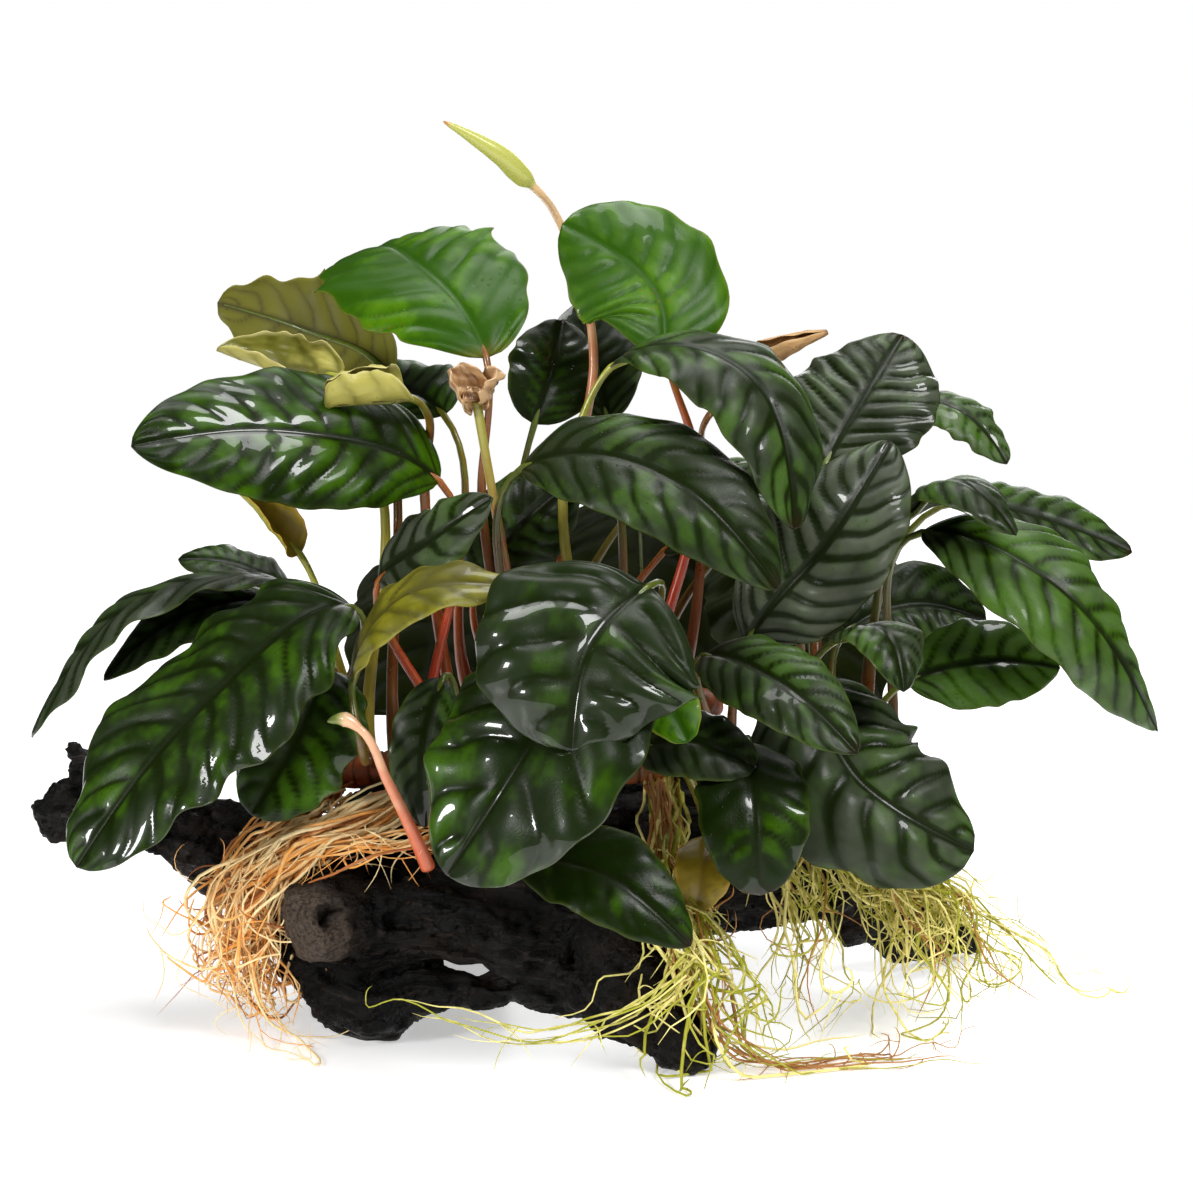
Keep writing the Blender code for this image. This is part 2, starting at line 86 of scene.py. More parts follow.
# lumps, prongs and burls on the limbs, as short limbs of their own
BURLS = (
    Limb("end_knot", ((-99, -26, 62, 6), (-92, -30, 66, 8), (-84, -32, 62, 8)), 61, 0.2),
    Limb("end_lip", ((-106, -30, 30, 7), (-104, -33, 26, 8), (-96, -36, 24, 8)), 67, 0.25),
    Limb("worn_stub", ((-80, -44, 48, 13), (-90, -52, 46, 14), (-98, -58, 44, 13)), 103, 0.15),
    Limb("arm_upper_prong", ((-166, 4, 76, 8), (-178, 3, 84, 6), (-184, 2, 89, 4), (-187, 2, 93, 2)), 71,
         0.3),
    Limb("arm_lower_prong", ((-176, 0, 68, 9), (-188, 0, 68, 7), (-197, 1, 66, 4)), 73, 0.3),
    Limb("arm_burl", ((-140, 0, 50, 8), (-132, -2, 46, 9), (-122, -2, 44, 7)), 79, 0.25),
    Limb("front_ridge", ((-84, -46, 54, 5), (-60, -54, 54, 6), (-34, -60, 46, 6), (-12, -64, 38, 5)), 83,
         0.3),
    Limb("slit_lip", ((-66, -46, 38, 6), (-46, -49, 36, 6), (-24, -51, 35, 7)), 87, 0.15),
    Limb("foot_toe", ((20, -66, 16, 8), (28, -72, 8, 8), (34, -74, 2, 7)), 89, 0.25),
    Limb("right_burl", ((92, 24, 26, 10), (104, 30, 22, 12), (116, 36, 16, 9)), 97, 0.25),
    Limb("top_ridge", ((-60, 8, 76, 8), (-20, 10, 80, 9), (30, 12, 78, 8), (62, 16, 74, 8)), 101, 0.25),
)
# between the front limb and the strand below it: centre x, z, and half its length and height
SLIT = ((-46, 28.4), (13, 1.8))
SLIT_MARGIN = (4, 3)        # no splinter sticks out this near to it
FRONT = -20                 # the y in front of which the slit and the arch are kept clear
ARCH = ((-34, 0), (34, 15))         # the room below the strand
WORN_FACE = Vector((-99, -62, 44))  # where the front limb is broken off, and the knot hole in it
WORN_RADIUS = 19
KNOT_HOLE = Vector((-90, -66, 53))
KNOT_RADIUS = 6

RHIZOMES = {
    "left": ((-102, 0, 84), (-76, -12, 89), (-46, -8, 92)),
    "middle": ((-34, -4, 92), (-4, -12, 90), (30, -10, 90)),
    "right": ((42, -6, 86), (72, -6, 83), (100, 2, 73)),
    "back": ((-48, 42, 102), (-6, 40, 109), (46, 36, 98)),
}

# Each leaf: its rhizome, how far along it, the stalk's lean forwards in degrees, its bends, three points of
# the midrib, the blade's width, the way that it faces, how far it is curled up in degrees, and its look.
# veins: side veins in each half; quilt, ruffle, dome, swell: heights as shares of half the width
# blunt: 0.4 is a round tip; lobes: how far the margin goes in and out; wet: how much water lies on it
# stalk: its colour; lively: how fresh the green is; wrinkle: fine folds along a dying blade
# wax: how much grey sheen is painted on it; wide: the width as a share of the solid's; tone: its kind of
# colours
# roll: degrees that it is curled up beyond its solid; furl: more, towards the tip; twist: from end to end
LOOK = "veins quilt ruffle dome blunt stalk lively wrinkle lobes wet swell roll wax wide tone furl twist"
Look = namedtuple("Look", LOOK, defaults=(
    9, 0.045, 0.10, 0.08, 0.62, "olive", 0.3, 0.0, 0.05, -0.05, 0.025, 0, 0.15, 1.0, "dark", 0, 0))
SMALL = Look(veins=7, quilt=0.024, ruffle=0.07, dome=0.05, wet=0.3)
# leaves at the back: a lively below zero keeps them the deep green throughout, painted shade for the dark
# inside of the plant
REAR = Look(quilt=0.04, blunt=0.15, lively=-0.2, wet=0.0, wide=1.07)
Leaf = namedtuple("Leaf", "name on at lean knees base middle tip width face curl look", defaults=(Look(),))
LEAVES = (
    Leaf("upper_left", "left", 0.8, -10, (), (-54, -12, 191), (-105, -36, 212), (-153, -58, 211), 54,
         (0, -8, 6), -14, Look(veins=10, quilt=0.038, ruffle=0.09, stalk="red", lively=0.35, lobes=0.04,
         wet=0.12, wax=0)),
    Leaf("top_left", "middle", 0.05, 0, ((-40, 2, 185),), (-38, 0, 232), (-68, 44, 263), (-84, 92, 259), 68,
         (-1, -5, 9), -12, Look(quilt=0.036, ruffle=0.09, dome=0.04, blunt=0.6, stalk="brown", lobes=0.1,
         wet=0, wax=0, tone="bright")),
    Leaf("olive", "left", 0.6, -30, ((-70, 14, 180),), (-73, 33, 220), (-107, 64, 234), (-138, 68, 243), 41,
         (3, 9, -1), -20, Look(veins=8, quilt=0.035, ruffle=0.14, dome=0.02, blunt=0.5, lively=0.45,
         lobes=0.22, wet=0, wax=0, tone="olive")),
    Leaf("behind_olive", "back", 0.02, 0, (), (-54, 26, 208), (-80, 64, 214), (-107, 80, 218), 42,
         (0, -5, 8), -12, Look(stalk="amber", lively=0.6)),
    Leaf("withered", "left", 0.45, -10, ((-76, 6, 190),), (-88, 6, 224), (-109, 4, 228), (-131, 2, 235), 28,
         (1, -5, 7), 80, Look(veins=4, quilt=0.04, dome=0, stalk="yellow", lively=0.4, wrinkle=0.06,
         lobes=0.08, roll=15, wax=0, tone="pale", twist=60)),
    Leaf("rolled", "left", 0.98, -30, ((-60, 4, 190), (-58, -10, 214)), (-63, -20, 221), (-77, -22, 221),
         (-92, -24, 219), 34, (0, -2, 8), 150, Look(veins=3, quilt=0.02, ruffle=0.05, dome=0, blunt=0.2,
         stalk="amber", lively=0.6, wrinkle=0.05, roll=22, wax=0, tone="pale")),
    Leaf("standing", "back", 0.25, 10, (), (-22, 25, 205), (-16, 28, 222), (-12, 42, 240), 33, (1, -8, 2),
         20, Look(quilt=0.04, lively=0, wet=0.2, wax=0)),
    Leaf("standing_rear", "back", 0.62, 0, (), (4, 44, 203), (-1, 52, 223), (-6, 66, 243), 34, (2, -8, 3),
         16, Look(quilt=0.04, lively=0.1, wet=0.2)),
    Leaf("top", "middle", 0.8, -20, ((34, 4, 200),), (24, 5, 233), (23, 12, 248), (-12, 24, 276), 57,
         (2, -8, 4), -12, Look(quilt=0.032, ruffle=0.06, dome=0.05, blunt=0.55, stalk="red", lively=0.5,
         wet=0, wax=0.05, tone="bright")),
    Leaf("drooping", "middle", 0.55, 0, ((-7, -8, 207),), (5, -8, 230), (50, -36, 232), (66, -54, 182), 50,
         (4, -5, 8), -18, Look(stalk="yellow", wet=0)),
    Leaf("dried", "back", 0.84, 10, ((40, 52, 180),), (40, 22, 209), (60, 15, 228), (80, 8, 240), 24,
         (-2, -5, 8), 100, Look(quilt=0.02, dome=0, stalk="brown", lively=0.6, wrinkle=0.05, lobes=0.1,
         roll=45, wax=0, tone="brown", furl=30, twist=40)),
    Leaf("tall_rear", "right", 0.45, -20, (), (80, 10, 193), (94, 25, 214), (110, 48, 234), 54, (-2, -8, 6),
         -12, Look(veins=10, quilt=0.06, ruffle=0.08, lively=0.05, wet=0, wax=0.35)),
    Leaf("tall_front", "right", 0.08, 10, (), (52, -22, 137), (79, -30, 174), (101, -10, 205), 48,
         (-3, -8, 3), -10, Look(veins=10, quilt=0.06, ruffle=0.08, lively=0.05, wet=0.15, wax=0.45)),
    Leaf("right_pale", "right", 0.56, -30, (), (114, 60, 209), (131, 52, 206), (148, 42, 188), 28,
         (1, -3, 8), -20, Look(veins=7, ruffle=0.12, lively=0.8, lobes=0.12, wet=0.2, wax=0.4)),
    Leaf("right_curled", "right", 0.82, -10, (), (108, 7, 174), (126, -22, 192), (142, -36, 177), 30,
         (2, -3, 8), -40),
    Leaf("right_large", "right", 0.97, 10, (), (113, -6, 172), (152, -34, 162), (194, -25, 106), 46,
         (3, -6, 6), -14, Look(veins=10, quilt=0.05, ruffle=0.14, lively=0.75, lobes=0.07, wet=0, wax=0.2,
         furl=-110)),
    Leaf("right_rear", "right", 0.92, -50, (), (129, 25, 177), (160, 30, 170), (192, 30, 158), 34,
         (1, -5, 8), -12),
    Leaf("right_low", "right", 0.66, 50, (), (107, -20, 122), (134, -22, 130), (161, -15, 126), 34,
         (0, -7, 5), -10, Look(veins=7, quilt=0.04, lively=0.85, wet=0.25)),
    Leaf("right_middle", "right", 0.74, -30, (), (90, 32, 128), (116, 44, 136), (142, 44, 130), 34,
         (-1, -7, 4), -10),
    Leaf("right_small", "right", 0.3, 20, (), (82, -30, 139), (98, -56, 146), (102, -67, 130), 28,
         (2, -5, 8), -20),
    Leaf("centre_right", "right", 0.02, 45, (), (36, -45, 137), (62, -75, 134), (85, -90, 115), 34,
         (0, -6, 7), -12),
    Leaf("low_right", "right", 0.4, 60, (), (68, -30, 122), (90, -61, 96), (127, -63, 74), 64, (2, -7, 4),
         -30, Look(veins=8, quilt=0.062, ruffle=0.11, blunt=0.5, lively=0.15, lobes=0.08, swell=0.05,
         wax=0.28)),
    Leaf("low_middle", "right", 0.18, 75, (), (51, -58, 110), (52, -84, 91), (54, -88, 66), 38, (0, -8, 3),
         -10, SMALL._replace(blunt=0.45, lively=0.15, wet=0.6, wax=0)),
    Leaf("small_dark", "middle", 0.92, 60, (), (15, -55, 108), (34, -68, 113), (53, -72, 105), 28,
         (0, -6, 6), -14, SMALL._replace(blunt=0.45, lively=0.1)),
    Leaf("small_bright", "middle", 0.8, 60, (), (9, -58, 126), (21, -70, 128), (30, -80, 116), 22,
         (0, -7, 5), -10, SMALL._replace(blunt=0.45, lively=0.6, wax=0, tone="bright")),
    Leaf("front_large", "middle", 0.4, 60, (), (-4, -52, 150), (-20, -95, 122), (-49, -101, 77), 74,
         (-3, -7, 5), -14, Look(veins=6, quilt=0.07, blunt=0.5, lively=0.25, wet=0.75, swell=0.05,
         wax=0.02)),
    Leaf("front_centre", "middle", 0.62, 40, (), (17, -74, 167), (-2, -95, 152), (-8, -107, 120), 78,
         (-1, -8, 4), -16, Look(veins=6, quilt=0.06, ruffle=0.08, blunt=0.5, lively=0, wet=0.75, swell=0.05,
         wax=0.06)),
    Leaf("centre", "middle", 0.18, 10, (), (-25, -25, 198), (23, -58, 201), (60, -68, 165), 44, (0, -7, 6),
         -14, Look(quilt=0.04, ruffle=0.08, lively=0.15, wet=-0.1, wax=0.12)),
    Leaf("left_grey", "left", 0.88, 30, (), (-75, -18, 157), (-56, -36, 175), (-35, -42, 191), 32,
         (2, -6, 7), -14, Look(veins=6, quilt=0.03, ruffle=0.08, stalk="red", lively=0.1, wet=0.2,
         wax=0.4)),
    Leaf("arched_olive", "left", 0.5, 50, ((-79, -58, 110),), (-82, -53, 129), (-65, -60, 160),
         (-25, -66, 165), 32, (3, -3, 8), -12, Look(veins=7, quilt=0.035, ruffle=0.14, lobes=0.08, wet=0.2,
         wax=0, tone="olive")),
    Leaf("left_large", "left", 0.3, 20, (), (-83, -32, 151), (-133, -62, 122), (-172, -82, 74), 62,
         (-4, -7, 6), -12, Look(veins=11, quilt=0.048, ruffle=0.14, blunt=0.5, lobes=0.15, wet=0.4,
         swell=0.03, wax=0.03)),
    Leaf("left_low", "left", 0.22, 40, (), (-91, -28, 128), (-103, -48, 106), (-117, -54, 84), 44,
         (-2, -7, 3), -10, Look(veins=8, quilt=0.055, ruffle=0.14, blunt=0.45, stalk="red", lively=0.4,
         lobes=0.1, wet=0.5, wax=0.03)),
    Leaf("far_left", "left", 0.12, -20, (), (-103, 5, 147), (-150, -8, 152), (-196, -22, 103), 44,
         (-3, 0, 9), -14, Look(quilt=0.055, ruffle=0.14, lively=0.2, lobes=0.08, wax=0.25)),
    Leaf("far_left_low", "left", 0.04, 0, (), (-108, 12, 141), (-144, 2, 141), (-173, -4, 119), 30,
         (-2, -4, 9), -14),
    Leaf("far_left_rear", "left", 0.15, -60, (), (-112, 32, 144), (-134, 36, 153), (-151, 38, 154), 28,
         (-1, -3, 9), -12),
    Leaf("furled", "left", 0.36, -20, ((-92, -2, 130),), (-103, -5, 164), (-112, -8, 176), (-123, -10, 187),
         20, (3, -5, 6), 80, Look(veins=7, quilt=0.02, ruffle=0.12, dome=0, stalk="yellow", wax=0,
         tone="yellow", twist=40)),
    Leaf("low_front", "middle", 0.3, 80, (), (-24, -64, 76), (4, -88, 73), (31, -95, 51), 33, (0, -7, 5),
         -10, SMALL._replace(ruffle=0.1, lively=0.1, wet=-0.12, wax=0)),
    Leaf("yellowing", "middle", 0.98, 80, (), (37, -52, 76), (36, -64, 68), (33, -66, 53), 20, (0, -8, 3),
         10, SMALL._replace(stalk="yellow", wax=0, tone="yellow")),
    Leaf("inner_dark", "back", 0.15, 40, (), (-42, 8, 150), (-26, 0, 174), (-6, -6, 192), 36, (0, -8, 4),
         -10, Look(stalk="red")),
    Leaf("inner_low", "left", 0.92, 80, (), (-52, -40, 128), (-58, -52, 108), (-58, -56, 80), 24,
         (0, -8, 2), -10, SMALL._replace(lively=0.2)),
    Leaf("rear_left", "back", 0.1, -30, (), (-38, 60, 146), (-52, 82, 134), (-66, 100, 80), 72, (-2, 8, 4),
         -14, REAR),
    Leaf("rear_middle", "back", 0.42, -30, (), (14, 64, 168), (16, 92, 158), (18, 112, 84), 72, (0, 8, 4),
         -14, REAR),
    Leaf("rear_right", "back", 0.74, -30, (), (56, 60, 158), (71, 83, 148), (82, 103, 78), 72, (2, 8, 4),
         -14, REAR),
    Leaf("rear_upper", "back", 0.55, 20, (), (24, 30, 158), (46, 18, 182), (72, 2, 178), 36, (0, -6, 7),
         -12, Look(stalk="red")),
)

STALKS = {
    "spathe_bud": ((-18, 8, 99, 1.9), (-8, 15, 190, 1.8), (-1, 22, 229, 1.6), (-5, 31, 254, 1.5),
                   (-13, 30, 276, 1.4), (-22, 14, 290, 1.3), (-25, 12, 293, 3.2), (-32, 8, 300, 3.4),
                   (-42, 4, 307, 2.0), (-52, 0, 313, 0.5)),
    "spathe_withered": ((-24, 8, 99, 1.8), (-30, -4, 150, 1.6), (-39, -12, 206, 1.6), (-41, -13, 219, 1.8)),
    "spathe_stalk": ((-57, -56, 66, 2.6), (-62, -60, 80, 2.2), (-70, -62, 98, 1.7), (-79, -62, 116, 1.4),
                     (-84, -61, 119, 2.6), (-90, -60, 118, 0.8)),
}


# ---------------------------------------------------------------- node trees
class Shade:
    """A material's node tree, with short ways to add nodes. Each way gives back an output socket."""

    def __init__(self, name):
        self.material = bpy.data.materials.new(name)
        self.material.use_nodes = True
        self.tree = self.material.node_tree
        self.shader = self.tree.nodes["Principled BSDF"]

    def feed(self, socket, value):
        """Link a socket, or set a plain value."""
        if isinstance(value, bpy.types.NodeSocket):
            self.tree.links.new(value, socket)
        elif isinstance(value, tuple) and len(value) == 3 and socket.type == "RGBA":
            socket.default_value = (*value, 1.0)
        else:
            socket.default_value = value

    def made(self, kind, inputs, output, **settings):
        """The output of a new node with these settings, whose named or numbered inputs are fed."""
        node = self.tree.nodes.new("ShaderNode" + kind)
        for key, value in settings.items():
            setattr(node, key, value)
        for key, value in inputs.items():
            self.feed(node.inputs[key], value)
        return node.outputs[output]

    def mark(self, name, output="Fac"):
        """A value that the mesh carries at its points."""
        return self.made("Attribute", {}, output, attribute_type="GEOMETRY", attribute_name=name)

    def place(self):
        """The point's place on its own piece, in metres."""
        return self.made("TexCoord", {}, "Object")

    def noise(self, scale, detail=3.0, roughness=0.5, vector=None):
        inputs = {"Vector": vector or self.place(), "Scale": scale, "Detail": detail, "Roughness": roughness}
        return self.made("TexNoise", inputs, "Fac")

    def cells(self, scale, vector, feature="DISTANCE_TO_EDGE"):
        """Distance to the edge of a cell, or to its middle for the feature F1."""
        return self.made("TexVoronoi", {"Vector": vector, "Scale": scale}, "Distance", feature=feature)

    def stretch(self, vector, scale):
        return self.made("Mapping", {"Vector": vector, "Scale": scale}, "Vector")

    def span(self, value, low, high, to_low=0.0, to_high=1.0):
        """Map a value's range from low..high to another, smoothly, held at both ends."""
        inputs = {"Value": value, "From Min": low, "From Max": high, "To Min": to_low, "To Max": to_high}
        return self.made("MapRange", inputs, "Result", interpolation_type="SMOOTHSTEP")

    def sum(self, kind, a, b):
        return self.made("Math", {0: a, 1: b}, "Value", operation=kind)

    def plus(self, a, b):
        return self.sum("ADD", a, b)

    def times(self, a, b):
        return self.sum("MULTIPLY", a, b)

    def mix(self, share, a, b):
        """The colour a, and b where share is 1."""
        colour_a, colour_b, colour_out = 6, 7, 2      # the node's colour sockets among those of other kinds
        return self.made("Mix", {0: share, colour_a: a, colour_b: b}, colour_out, data_type="RGBA")

    def bump(self, height, distance, strength=1.0, normal=None):
        """Bump of a height field whose full range is worth distance, in millimetres."""
        inputs = {"Height": height, "Distance": distance * MM, "Strength": strength}
        return self.made("Bump", inputs | ({"Normal": normal} if normal else {}), "Normal")

    def finish(self, **sockets):
        """Set or link the shader's sockets, and give back the material."""
        for name, value in sockets.items():
            self.feed(self.shader.inputs[name.replace("_", " ")], value)
        return self.material


# ---------------------------------------------------------------- leaf materials
# deep and lively: the colours near the veins and between them; under: the lower side; coat: how much a film
# of water shines; rough: the range of roughness; gloss: the specular level
Tone = namedtuple("Tone", "deep lively under vein rim stain coat rough gloss", defaults=(0.3,))
TONES = {
    "dark": Tone((0.006, 0.015, 0.0003), (0.042, 0.115, 0.0006), (0.02, 0.03, 0.003), (0.006, 0.009, 0.0008),
                 (0.055, 0.080, 0.008), (0.016, 0.009, 0.002), 0.9, (0.28, 0.44), 0.16),
    "bright": Tone((0.022, 0.075, 0.0008), (0.072, 0.190, 0.002), (0.09, 0.18, 0.010), (0.026, 0.085, 0.004),
                   (0.260, 0.300, 0.030), (0.220, 0.100, 0.010), 0.40, (0.30, 0.45), 0.12),
    "olive": Tone((0.085, 0.080, 0.004), (0.200, 0.190, 0.008), (0.130, 0.125, 0.008), (0.050, 0.042, 0.004),
                  (0.280, 0.250, 0.030), (0.080, 0.044, 0.008), 0.35, (0.36, 0.52)),
    "pale": Tone((0.150, 0.150, 0.014), (0.560, 0.510, 0.130), (0.400, 0.360, 0.080), (0.130, 0.120, 0.018),
                 (0.700, 0.620, 0.260), (0.420, 0.190, 0.040), 0.55, (0.30, 0.46)),
    "brown": Tone((0.280, 0.130, 0.035), (0.640, 0.400, 0.170), (0.460, 0.270, 0.110), (0.180, 0.080, 0.025),
                  (0.640, 0.420, 0.200), (0.200, 0.070, 0.018), 0.25, (0.36, 0.54)),
    "yellow": Tone((0.260, 0.190, 0.010), (0.560, 0.420, 0.020), (0.280, 0.280, 0.030), (0.200, 0.120, 0.010),
                   (0.520, 0.280, 0.030), (0.480, 0.190, 0.012), 0.30, (0.30, 0.46)),
}
SLOTS = {
    "dark": "leaf_dark", "bright": "leaf_bright", "olive": "leaf_olive", "pale": "leaf_withered",
    "brown": "leaf_dried", "yellow": "leaf_yellow",
}
# the grey of the painted sheen: a broad reflection of the lamps, painted into the colour
PAINTED_SHEEN_COLOUR = (0.170, 0.185, 0.140)


def blade_material(kind):
    """The skin of a blade: veins, fresh green between them, painted shade and sheen, stains, dew and a film
    of water.
    """
    tone = TONES[kind]
    shade = Shade("blade_" + kind)
    flat = shade.mark("flat", "Vector")
    vein = shade.mark("vein")
    under = shade.mark("under")
    broad = shade.noise(48.0, 3.0, 0.6, flat)
    fresh = shade.plus(shade.mark("lively"), shade.span(broad, 0.35, 0.68, -0.25, 0.45))
    # darker towards the veins: partly the veins' own colour, partly painted shade in the grooves between the
    # pillows
    fresh = shade.sum("SUBTRACT", fresh, shade.times(vein, 0.8))
    colour = shade.mix(shade.span(fresh, 0.0, 1.0), tone.deep, tone.lively)
    streaks = shade.noise(420.0, 4.0, 0.6, shade.stretch(flat, (0.35, 1.4, 1.0)))
    colour = shade.mix(shade.span(streaks, 0.40, 0.8, 0.0, 0.3), colour, tone.vein)
    # painted sheen: grey colour standing in for the lamps' broad reflection, laid in patches on the pillow
    # tops and kept out of the vein grooves
    painted_sheen_share = shade.span(shade.noise(60.0, 3.0, 0.6, flat), 0.3, 0.7, 0.4, 1.0)
    painted_sheen_share = shade.times(shade.times(shade.mark("wax"), painted_sheen_share), shade.span(vein, 0.02, 0.32, 1.0, 0.12))
    colour = shade.mix(painted_sheen_share, colour, PAINTED_SHEEN_COLOUR)
    # the vein colour laid over the grooves: partly the veins' own colour, partly painted shade
    colour = shade.mix(shade.times(vein, 0.7), colour, tone.vein)
    specks = shade.noise(900.0, 2.0, 0.5, flat)
    patches = shade.times(shade.span(specks, 0.60, 0.72), shade.span(broad, 0.5, 0.68))
    colour = shade.mix(shade.times(patches, 0.6), colour, tone.stain)
    colour = shade.mix(shade.times(shade.mark("stain"), 0.85), colour, tone.stain)
    colour = shade.mix(under, colour, shade.mix(vein, tone.under, tone.vein))
    colour = shade.mix(shade.times(shade.mark("rim"), 0.7), colour, tone.rim)
    net = shade.span(shade.cells(520.0, flat), 0.0, 0.12)
    normal = shade.bump(net, 0.05, 0.25)
    normal = shade.bump(shade.noise(130.0, 2.0, 0.4, flat), 0.30, 0.3, normal)
    drops = shade.span(shade.cells(330.0, flat, "F1"), 0.08, 0.18, 1.0, 0.0)
    dewy = shade.span(shade.noise(26.0, 2.0, 0.5, flat), 0.54, 0.62)
    normal = shade.bump(shade.times(drops, dewy), 0.30, 0.6, normal)
    rough = shade.span(shade.noise(70.0, 3.0, 0.6, flat), 0.35, 0.65, *tone.rough)
    rough = shade.plus(rough, shade.times(under, 0.12))
    puddles = shade.span(shade.noise(55.0, 2.0, 0.5, flat), 0.38, 0.62, -0.5, 0.5)
    coat = shade.span(shade.plus(shade.mark("wet"), puddles), 0.36, 0.52, 0.0, tone.coat)
    coat = shade.times(coat, shade.sum("SUBTRACT", 1.0, under))
    return shade.finish(Base_Color=colour, Roughness=rough, Normal=normal, Coat_Weight=coat,
                        Coat_Roughness=0.035, Coat_IOR=1.4, Specular_IOR_Level=tone.gloss)


# foot and top colours of each kind of leaf stalk
STALK_COLOURS = {
    "red": ((0.420, 0.035, 0.010), (0.360, 0.120, 0.020)),
    "amber": ((0.320, 0.060, 0.008), (0.180, 0.190, 0.016)),
    "olive": ((0.160, 0.050, 0.010), (0.090, 0.130, 0.012)),
    "brown": ((0.190, 0.045, 0.010), (0.240, 0.100, 0.022)),
    "yellow": ((0.330, 0.270, 0.030), (0.360, 0.380, 0.040)),
}


def stalk_material(kind):
    """A leaf stalk: one colour to another from foot to top, with fine streaks along it."""
    foot, top = STALK_COLOURS[kind]
    shade = Shade("stalk_" + kind)
    along = shade.mark("along")
    blotch = shade.noise(90.0, 4.0, 0.6)
    up = shade.plus(along, shade.span(blotch, 0.3, 0.7, -0.2, 0.2))
    colour = shade.mix(shade.span(up, 0.1, 1.0), foot, top)
    streak = shade.noise(600.0, 3.0, 0.6, shade.stretch(shade.place(), (1.0, 1.0, 0.08)))
    colour = shade.mix(shade.span(streak, 0.4, 0.75, 0.0, 0.45), colour, tuple(0.45 * c for c in foot))
    normal = shade.bump(streak, 0.12, 0.6)
    return shade.finish(Base_Color=colour, Roughness=shade.span(blotch, 0.3, 0.7, 0.25, 0.45), Normal=normal,
                        Coat_Weight=0.3, Coat_Roughness=0.1)


# ---------------------------------------------------------------- smooth paths
def tangents(points, first=None):
    """Unit directions at the points: between the chords inside, and bent a little outwards at the ends."""
    chords = [b - a for a, b in zip(points, points[1:])]
    inner = []
    for before, after in zip(chords, chords[1:]):
        blend = before.normalized() * after.length + after.normalized() * before.length
        inner.append(blend.normalized())
    start = first or (chords[0].normalized() * 1.5 - (inner or chords)[0].normalized() * 0.5).normalized()
    end = (chords[-1].normalized() * 1.5 - (inner or chords)[-1].normalized() * 0.5).normalized()
    return [start, *inner, end]


def smooth(points, steps, first=None):
    """Points along a smooth curve through the given ones; steps holds the count for each stretch."""
    points = [Vector(p) for p in points]
    ways = tangents(points, first)
    line = [points[0]]
    for i, count in enumerate(steps):
        a, b = points[i], points[i + 1]
        reach = (b - a).length
        for k in range(1, count + 1):
            t = k / count
            h0, h1 = 2 * t**3 - 3 * t**2 + 1, t**3 - 2 * t**2 + t
            h2, h3 = 3 * t**2 - 2 * t**3, t**3 - t**2
            line.append(a * h0 + ways[i] * (h1 * reach) + b * h2 + ways[i + 1] * (h3 * reach))
    return line


def directions(line):
    """Unit directions along a line of points."""
    ends = [line[0], *line, line[-1]]
    return [(c - a).normalized() for a, c in zip(ends, ends[2:])]


def carried(face, ways):
    """A vector carried along a line without spinning, square to the line at each point."""
    held = []
    for way in ways:
        face = (face - way * face.dot(way)).normalized()
        held.append(face)
    return held


def radius_along(path, steps):
    """The radius at each point of a smooth line through a path of (x, y, z, radius)."""
    knots = np.arange(len(path)) * steps
    return np.interp(np.arange(knots[-1] + 1), knots, [p[3] for p in path])


# ---------------------------------------------------------------- closed skins through rings of points
def shell(rings):
    """The faces of a closed skin through rings of equal, even count: rows of four corners, facing out."""
    count, sides = rings.shape[:2]
    base = np.arange(count - 1)[:, None] * sides
    i = np.arange(sides)[None, :]
    j = (i + 1) % sides
    walls = np.stack([base + i, base + j, base + sides + j, base + sides + i], axis=-1).reshape(-1, 4)
    k = np.arange(sides // 2 - 1)
    cap = np.stack([k, k + 1, sides - 2 - k, sides - 1 - k], axis=-1)
    faces = np.concatenate([walls, cap[:, ::-1], cap + (count - 1) * sides])
    points = rings.reshape(-1, 3)
    a, b, c, d = (points[faces[:, n]] for n in range(4))
    volume = (a * (np.cross(b, c) + np.cross(c, d))).sum()
    return faces if volume > 0 else faces[:, ::-1]


class Skin:
    """Closed skins gathered into one mesh, with the values that its materials read at each point."""

    def __init__(self):
        self.points, self.faces, self.slots, self.marks = [], [], [], {}
        self.count = 0

    def add(self, rings, slot=0, **marks):
        """Add a skin through rings, in millimetres. A mark is one number, or one for each point."""
        faces = shell(rings) + self.count
        total = rings.shape[0] * rings.shape[1]
        self.points.append(rings.reshape(-1, 3) * MM)
        self.faces.append(faces)
        self.slots.append(np.full(len(faces), slot))
        for name in sorted({*self.marks, *marks}):
            size = 3 if name == "flat" else 1
            value = np.asarray(marks.get(name, [0.0] * size), dtype=float)
            filled = np.zeros((total, size)) + value.reshape(-1, size)
            self.marks.setdefault(name, [np.zeros((self.count, size))]).append(filled)
        self.count += total

    def mesh(self, name):
        made = bpy.data.meshes.new(name)
        points, faces = np.concatenate(self.points), np.concatenate(self.faces)
        made.vertices.add(len(points))
        made.vertices.foreach_set("co", points.ravel())
        made.loops.add(faces.size)
        made.loops.foreach_set("vertex_index", faces.ravel())
        made.polygons.add(len(faces))
        made.polygons.foreach_set("loop_start", np.arange(0, faces.size, 4))
        made.polygons.foreach_set("material_index", np.concatenate(self.slots))
        made.update(calc_edges=True)
        for mark, parts in self.marks.items():
            values = np.concatenate(parts)
            kind, field = ("FLOAT_VECTOR", "vector") if values.shape[1] == 3 else ("FLOAT", "value")
            made.attributes.new(mark, kind, "POINT").data.foreach_set(field, values.ravel())
        made.shade_smooth()
        return made

    def piece(self, name, materials, slot, *nodes):
        """An object of this skin that stands for the nodes."""
        settle(bpy.data.objects.new(name, self.mesh(name)), materials, slot, *nodes)


